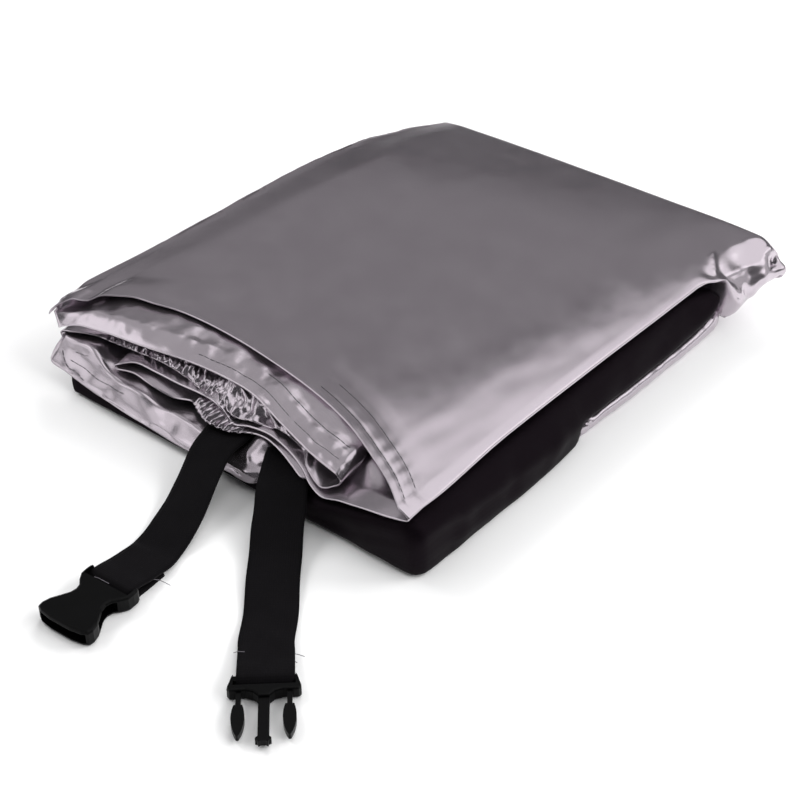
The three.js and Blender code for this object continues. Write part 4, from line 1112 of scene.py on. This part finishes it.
def finish_material(name, dark, light, roughness, mottle, relief, weave=None, **shader_values):
    """A material whose colour and roughness follow a mottle of (lumps, specks, speck share),
    with a fine relief of (strength, distance) and, on cloth, a weave of (threads, share)."""
    material, tree, shader = new_material(name)
    place = tree.nodes.new("ShaderNodeTexCoord").outputs["Object"]
    size, speck_size, speck_share = mottle
    mask = add_node(tree, "ShaderNodeGroup", {"node_tree": mottle_group}, Vector=place, Lumps=size,
                    Specks=speck_size, Speck_Share=speck_share).outputs["Mask"]
    colours = add_node(tree, "ShaderNodeValToRGB", Fac=mask)
    stops = ((MASK_DARK, dark), (MASK_LIGHT, light))
    for stop, (at, colour) in zip(colours.color_ramp.elements, stops):
        stop.position, stop.color = at, (*colour, 1)
    rough = add_node(tree, "ShaderNodeMapRange", Value=mask, From_Min=MASK_DARK,
                     From_Max=MASK_LIGHT, To_Min=roughness[0], To_Max=roughness[1])
    height = mask
    if weave:
        threads, share = weave
        uv = add_node(tree, "ShaderNodeUVMap", {"uv_map": "cloth"}).outputs["UV"]
        woven = add_node(tree, "ShaderNodeGroup", {"node_tree": weave_group}, Vector=uv,
                         Threads=threads).outputs["Height"]
        height = add_node(tree, "ShaderNodeMath", {"operation": "MULTIPLY_ADD"}, in0=woven,
                          in1=share, in2=mask).outputs[0]
    strength, distance = relief
    bumps = add_node(tree, "ShaderNodeBump", Height=height, Strength=strength, Distance=distance)
    set_inputs(tree, shader, Base_Color=colours.outputs["Color"], Normal=bumps.outputs["Normal"],
               Roughness=rough.outputs["Result"], **shader_values)
    print("finish", name)
    return material


silver_finish = finish_material(
    "silver_coated_cloth", (0.54, 0.485, 0.533), (0.585, 0.53, 0.578), roughness=(0.2, 0.26),
    mottle=(55, 1200, 0.12), relief=(0.12, 0.0003), weave=(600, 0.02), Metallic=0.94,
    Specular_IOR_Level=0.3,
)

# %% The other finishes
black_finish = finish_material(
    "black_coated_cloth", (0.0025, 0.0017, 0.0024), (0.004, 0.0028, 0.0039),
    roughness=(0.5, 0.62), mottle=(60, 1500, 0.4), relief=(0.3, 0.0003), weave=(1000, 0.25),
    Specular_IOR_Level=0.08, Specular_Tint=(1, 0.7, 0.95, 1),
)
webbing_finish = finish_material(
    "black_webbing", (0.003, 0.0026, 0.0032), (0.006, 0.0054, 0.0064), roughness=(0.7, 0.85),
    mottle=(90, 1600, 0.5), relief=(0.5, 0.0003), weave=(280, 0.25), Specular_IOR_Level=0.08,
    Sheen_Weight=0.01, Sheen_Roughness=0.5,
)
plastic_finish = finish_material(
    "buckle_plastic", (0.0012, 0.0012, 0.0013), (0.0022, 0.0022, 0.0024), roughness=(0.3, 0.4),
    mottle=(160, 2400, 0.5), relief=(0.08, 0.0002), Specular_IOR_Level=0.11,
)
thread_finish, tail_finish = (
    finish_material(name, dark, light, roughness=(0.6, 0.7), mottle=(400, 3000, 0.5),
                    relief=(0.2, 0.0001))
    for name, dark, light in (
        ("dark_thread", (0.045, 0.04, 0.048), (0.09, 0.08, 0.09)),
        ("grey_thread", (0.16, 0.15, 0.17), (0.26, 0.24, 0.27)),
    )
)

# %% Dress the pieces
def dress(piece, material, node=None):
    piece.data.materials.clear()
    piece.data.materials.append(material)
    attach(piece, "root")
    if node:
        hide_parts(node)
    print(piece.name, "wears", material.name)


dress(silver_outer, silver_finish, "silver_outer_panel")
dress(silver_inner, silver_finish, "silver_inner_panel")
dress(end_cloth, silver_finish, "silver_end_panel")
dress(black_cloth, black_finish, "black_lower_panel")
dress(strap_left, webbing_finish, "strap_left")
dress(strap_right, webbing_finish, "strap_right")
dress(silver_stitches, thread_finish)
dress(strap_threads, tail_finish)
for node in ("buckle_socket_half", "buckle_prong_half"):
    bpy.data.objects[node].data.materials.clear()
    bpy.data.objects[node].data.materials.append(plastic_finish)

# %% Say how each sheet is held
def declare_sheet(piece, held, rests_on):
    print(piece.name, held, "on", rests_on)


declare_sheet(silver_outer, "folded", ["silver_inner_cloth"])
declare_sheet(silver_inner, "folded", ["black_cloth"])
declare_sheet(end_cloth, "folded", ["black_cloth"])
declare_sheet(black_cloth, "folded", ["silver_inner_cloth"])
declare_sheet(strap_left, "laid", ["silver_outer_cloth"])
declare_sheet(strap_right, "laid", ["silver_outer_cloth"])

# %% [markdown]
# ## The set
# A plain pale floor and soft boxes, as for a catalogue picture. The silver mirrors what stands
# around it, so the lights are placed by reflection: the top shows the dim room behind the
# packet, the fold at the right shows the large box beside it, and the hems at the front show
# the box at the left. Four more boxes whiten the floor and are kept out of all reflections.

# %% Lights
def soft_box(name, place, size, power, turn=None):
    """A rectangular soft box aimed at the packet, or level and turned where turn is given."""
    light = bpy.data.lights.new(name, "AREA")
    light.shape = "RECTANGLE"
    light.size, light.size_y = size
    light.energy = power
    lamp = add_object(name, light)
    lamp.location = place
    lamp.rotation_euler = (-Vector(place)).to_track_quat("-Z", "Y").to_euler()
    if turn is not None:
        lamp.rotation_euler = (0, 0, math.radians(turn))
    print(name, power, "W")
    return lamp


soft_box("box_above", (1.167, 1.143, 1.6), (3.9, 2.15), 30, turn=CAMERA_AZIMUTH)
soft_box("box_above_left", (-1.38, -0.57, 1.6), (2.2, 2.15), 6.5, turn=CAMERA_AZIMUTH)
soft_box("box_behind", (-2, 2.35, 1.95), (4.4, 1.5), 3.5)
soft_box("box_front_left", (-1.9, -2, 1.35), (2.6, 2.4), 18)
soft_box("box_right", (2.2, 1.7, 1.1), (1.8, 2), 6)
for name, place, power in (
    ("floor_back_left", (-1.3, 2.1, 1.5), 32),
    ("floor_back_right", (1.5, 2, 1.5), 32),
    ("floor_left", (-2.2, -0.2, 1.9), 26),
    ("floor_right", (2.3, 0.3, 1.3), 22),
):
    soft_box(name, place, (1.2, 1.2), power).visible_glossy = False

# %% Floor and world
floor_bm = bmesh.new()
bmesh.ops.create_grid(floor_bm, x_segments=1, y_segments=1, size=6)
floor = mesh_object("floor", floor_bm)
floor_material, tree, shader = new_material("pale_floor")
set_inputs(tree, shader, Base_Color=(0.98, 0.98, 0.98, 1), Roughness=0.9, Specular_IOR_Level=0.1)
floor.data.materials.append(floor_material)

world = bpy.data.worlds.new("studio")
bpy.context.scene.world = world
world.use_nodes = True
set_inputs(world.node_tree, world.node_tree.nodes["Background"], Color=(0.95, 0.95, 1, 1),
           Strength=0.07)
bpy.context.scene.view_settings.view_transform = "Standard"
print("floor", floor.name, "and world", world.name)
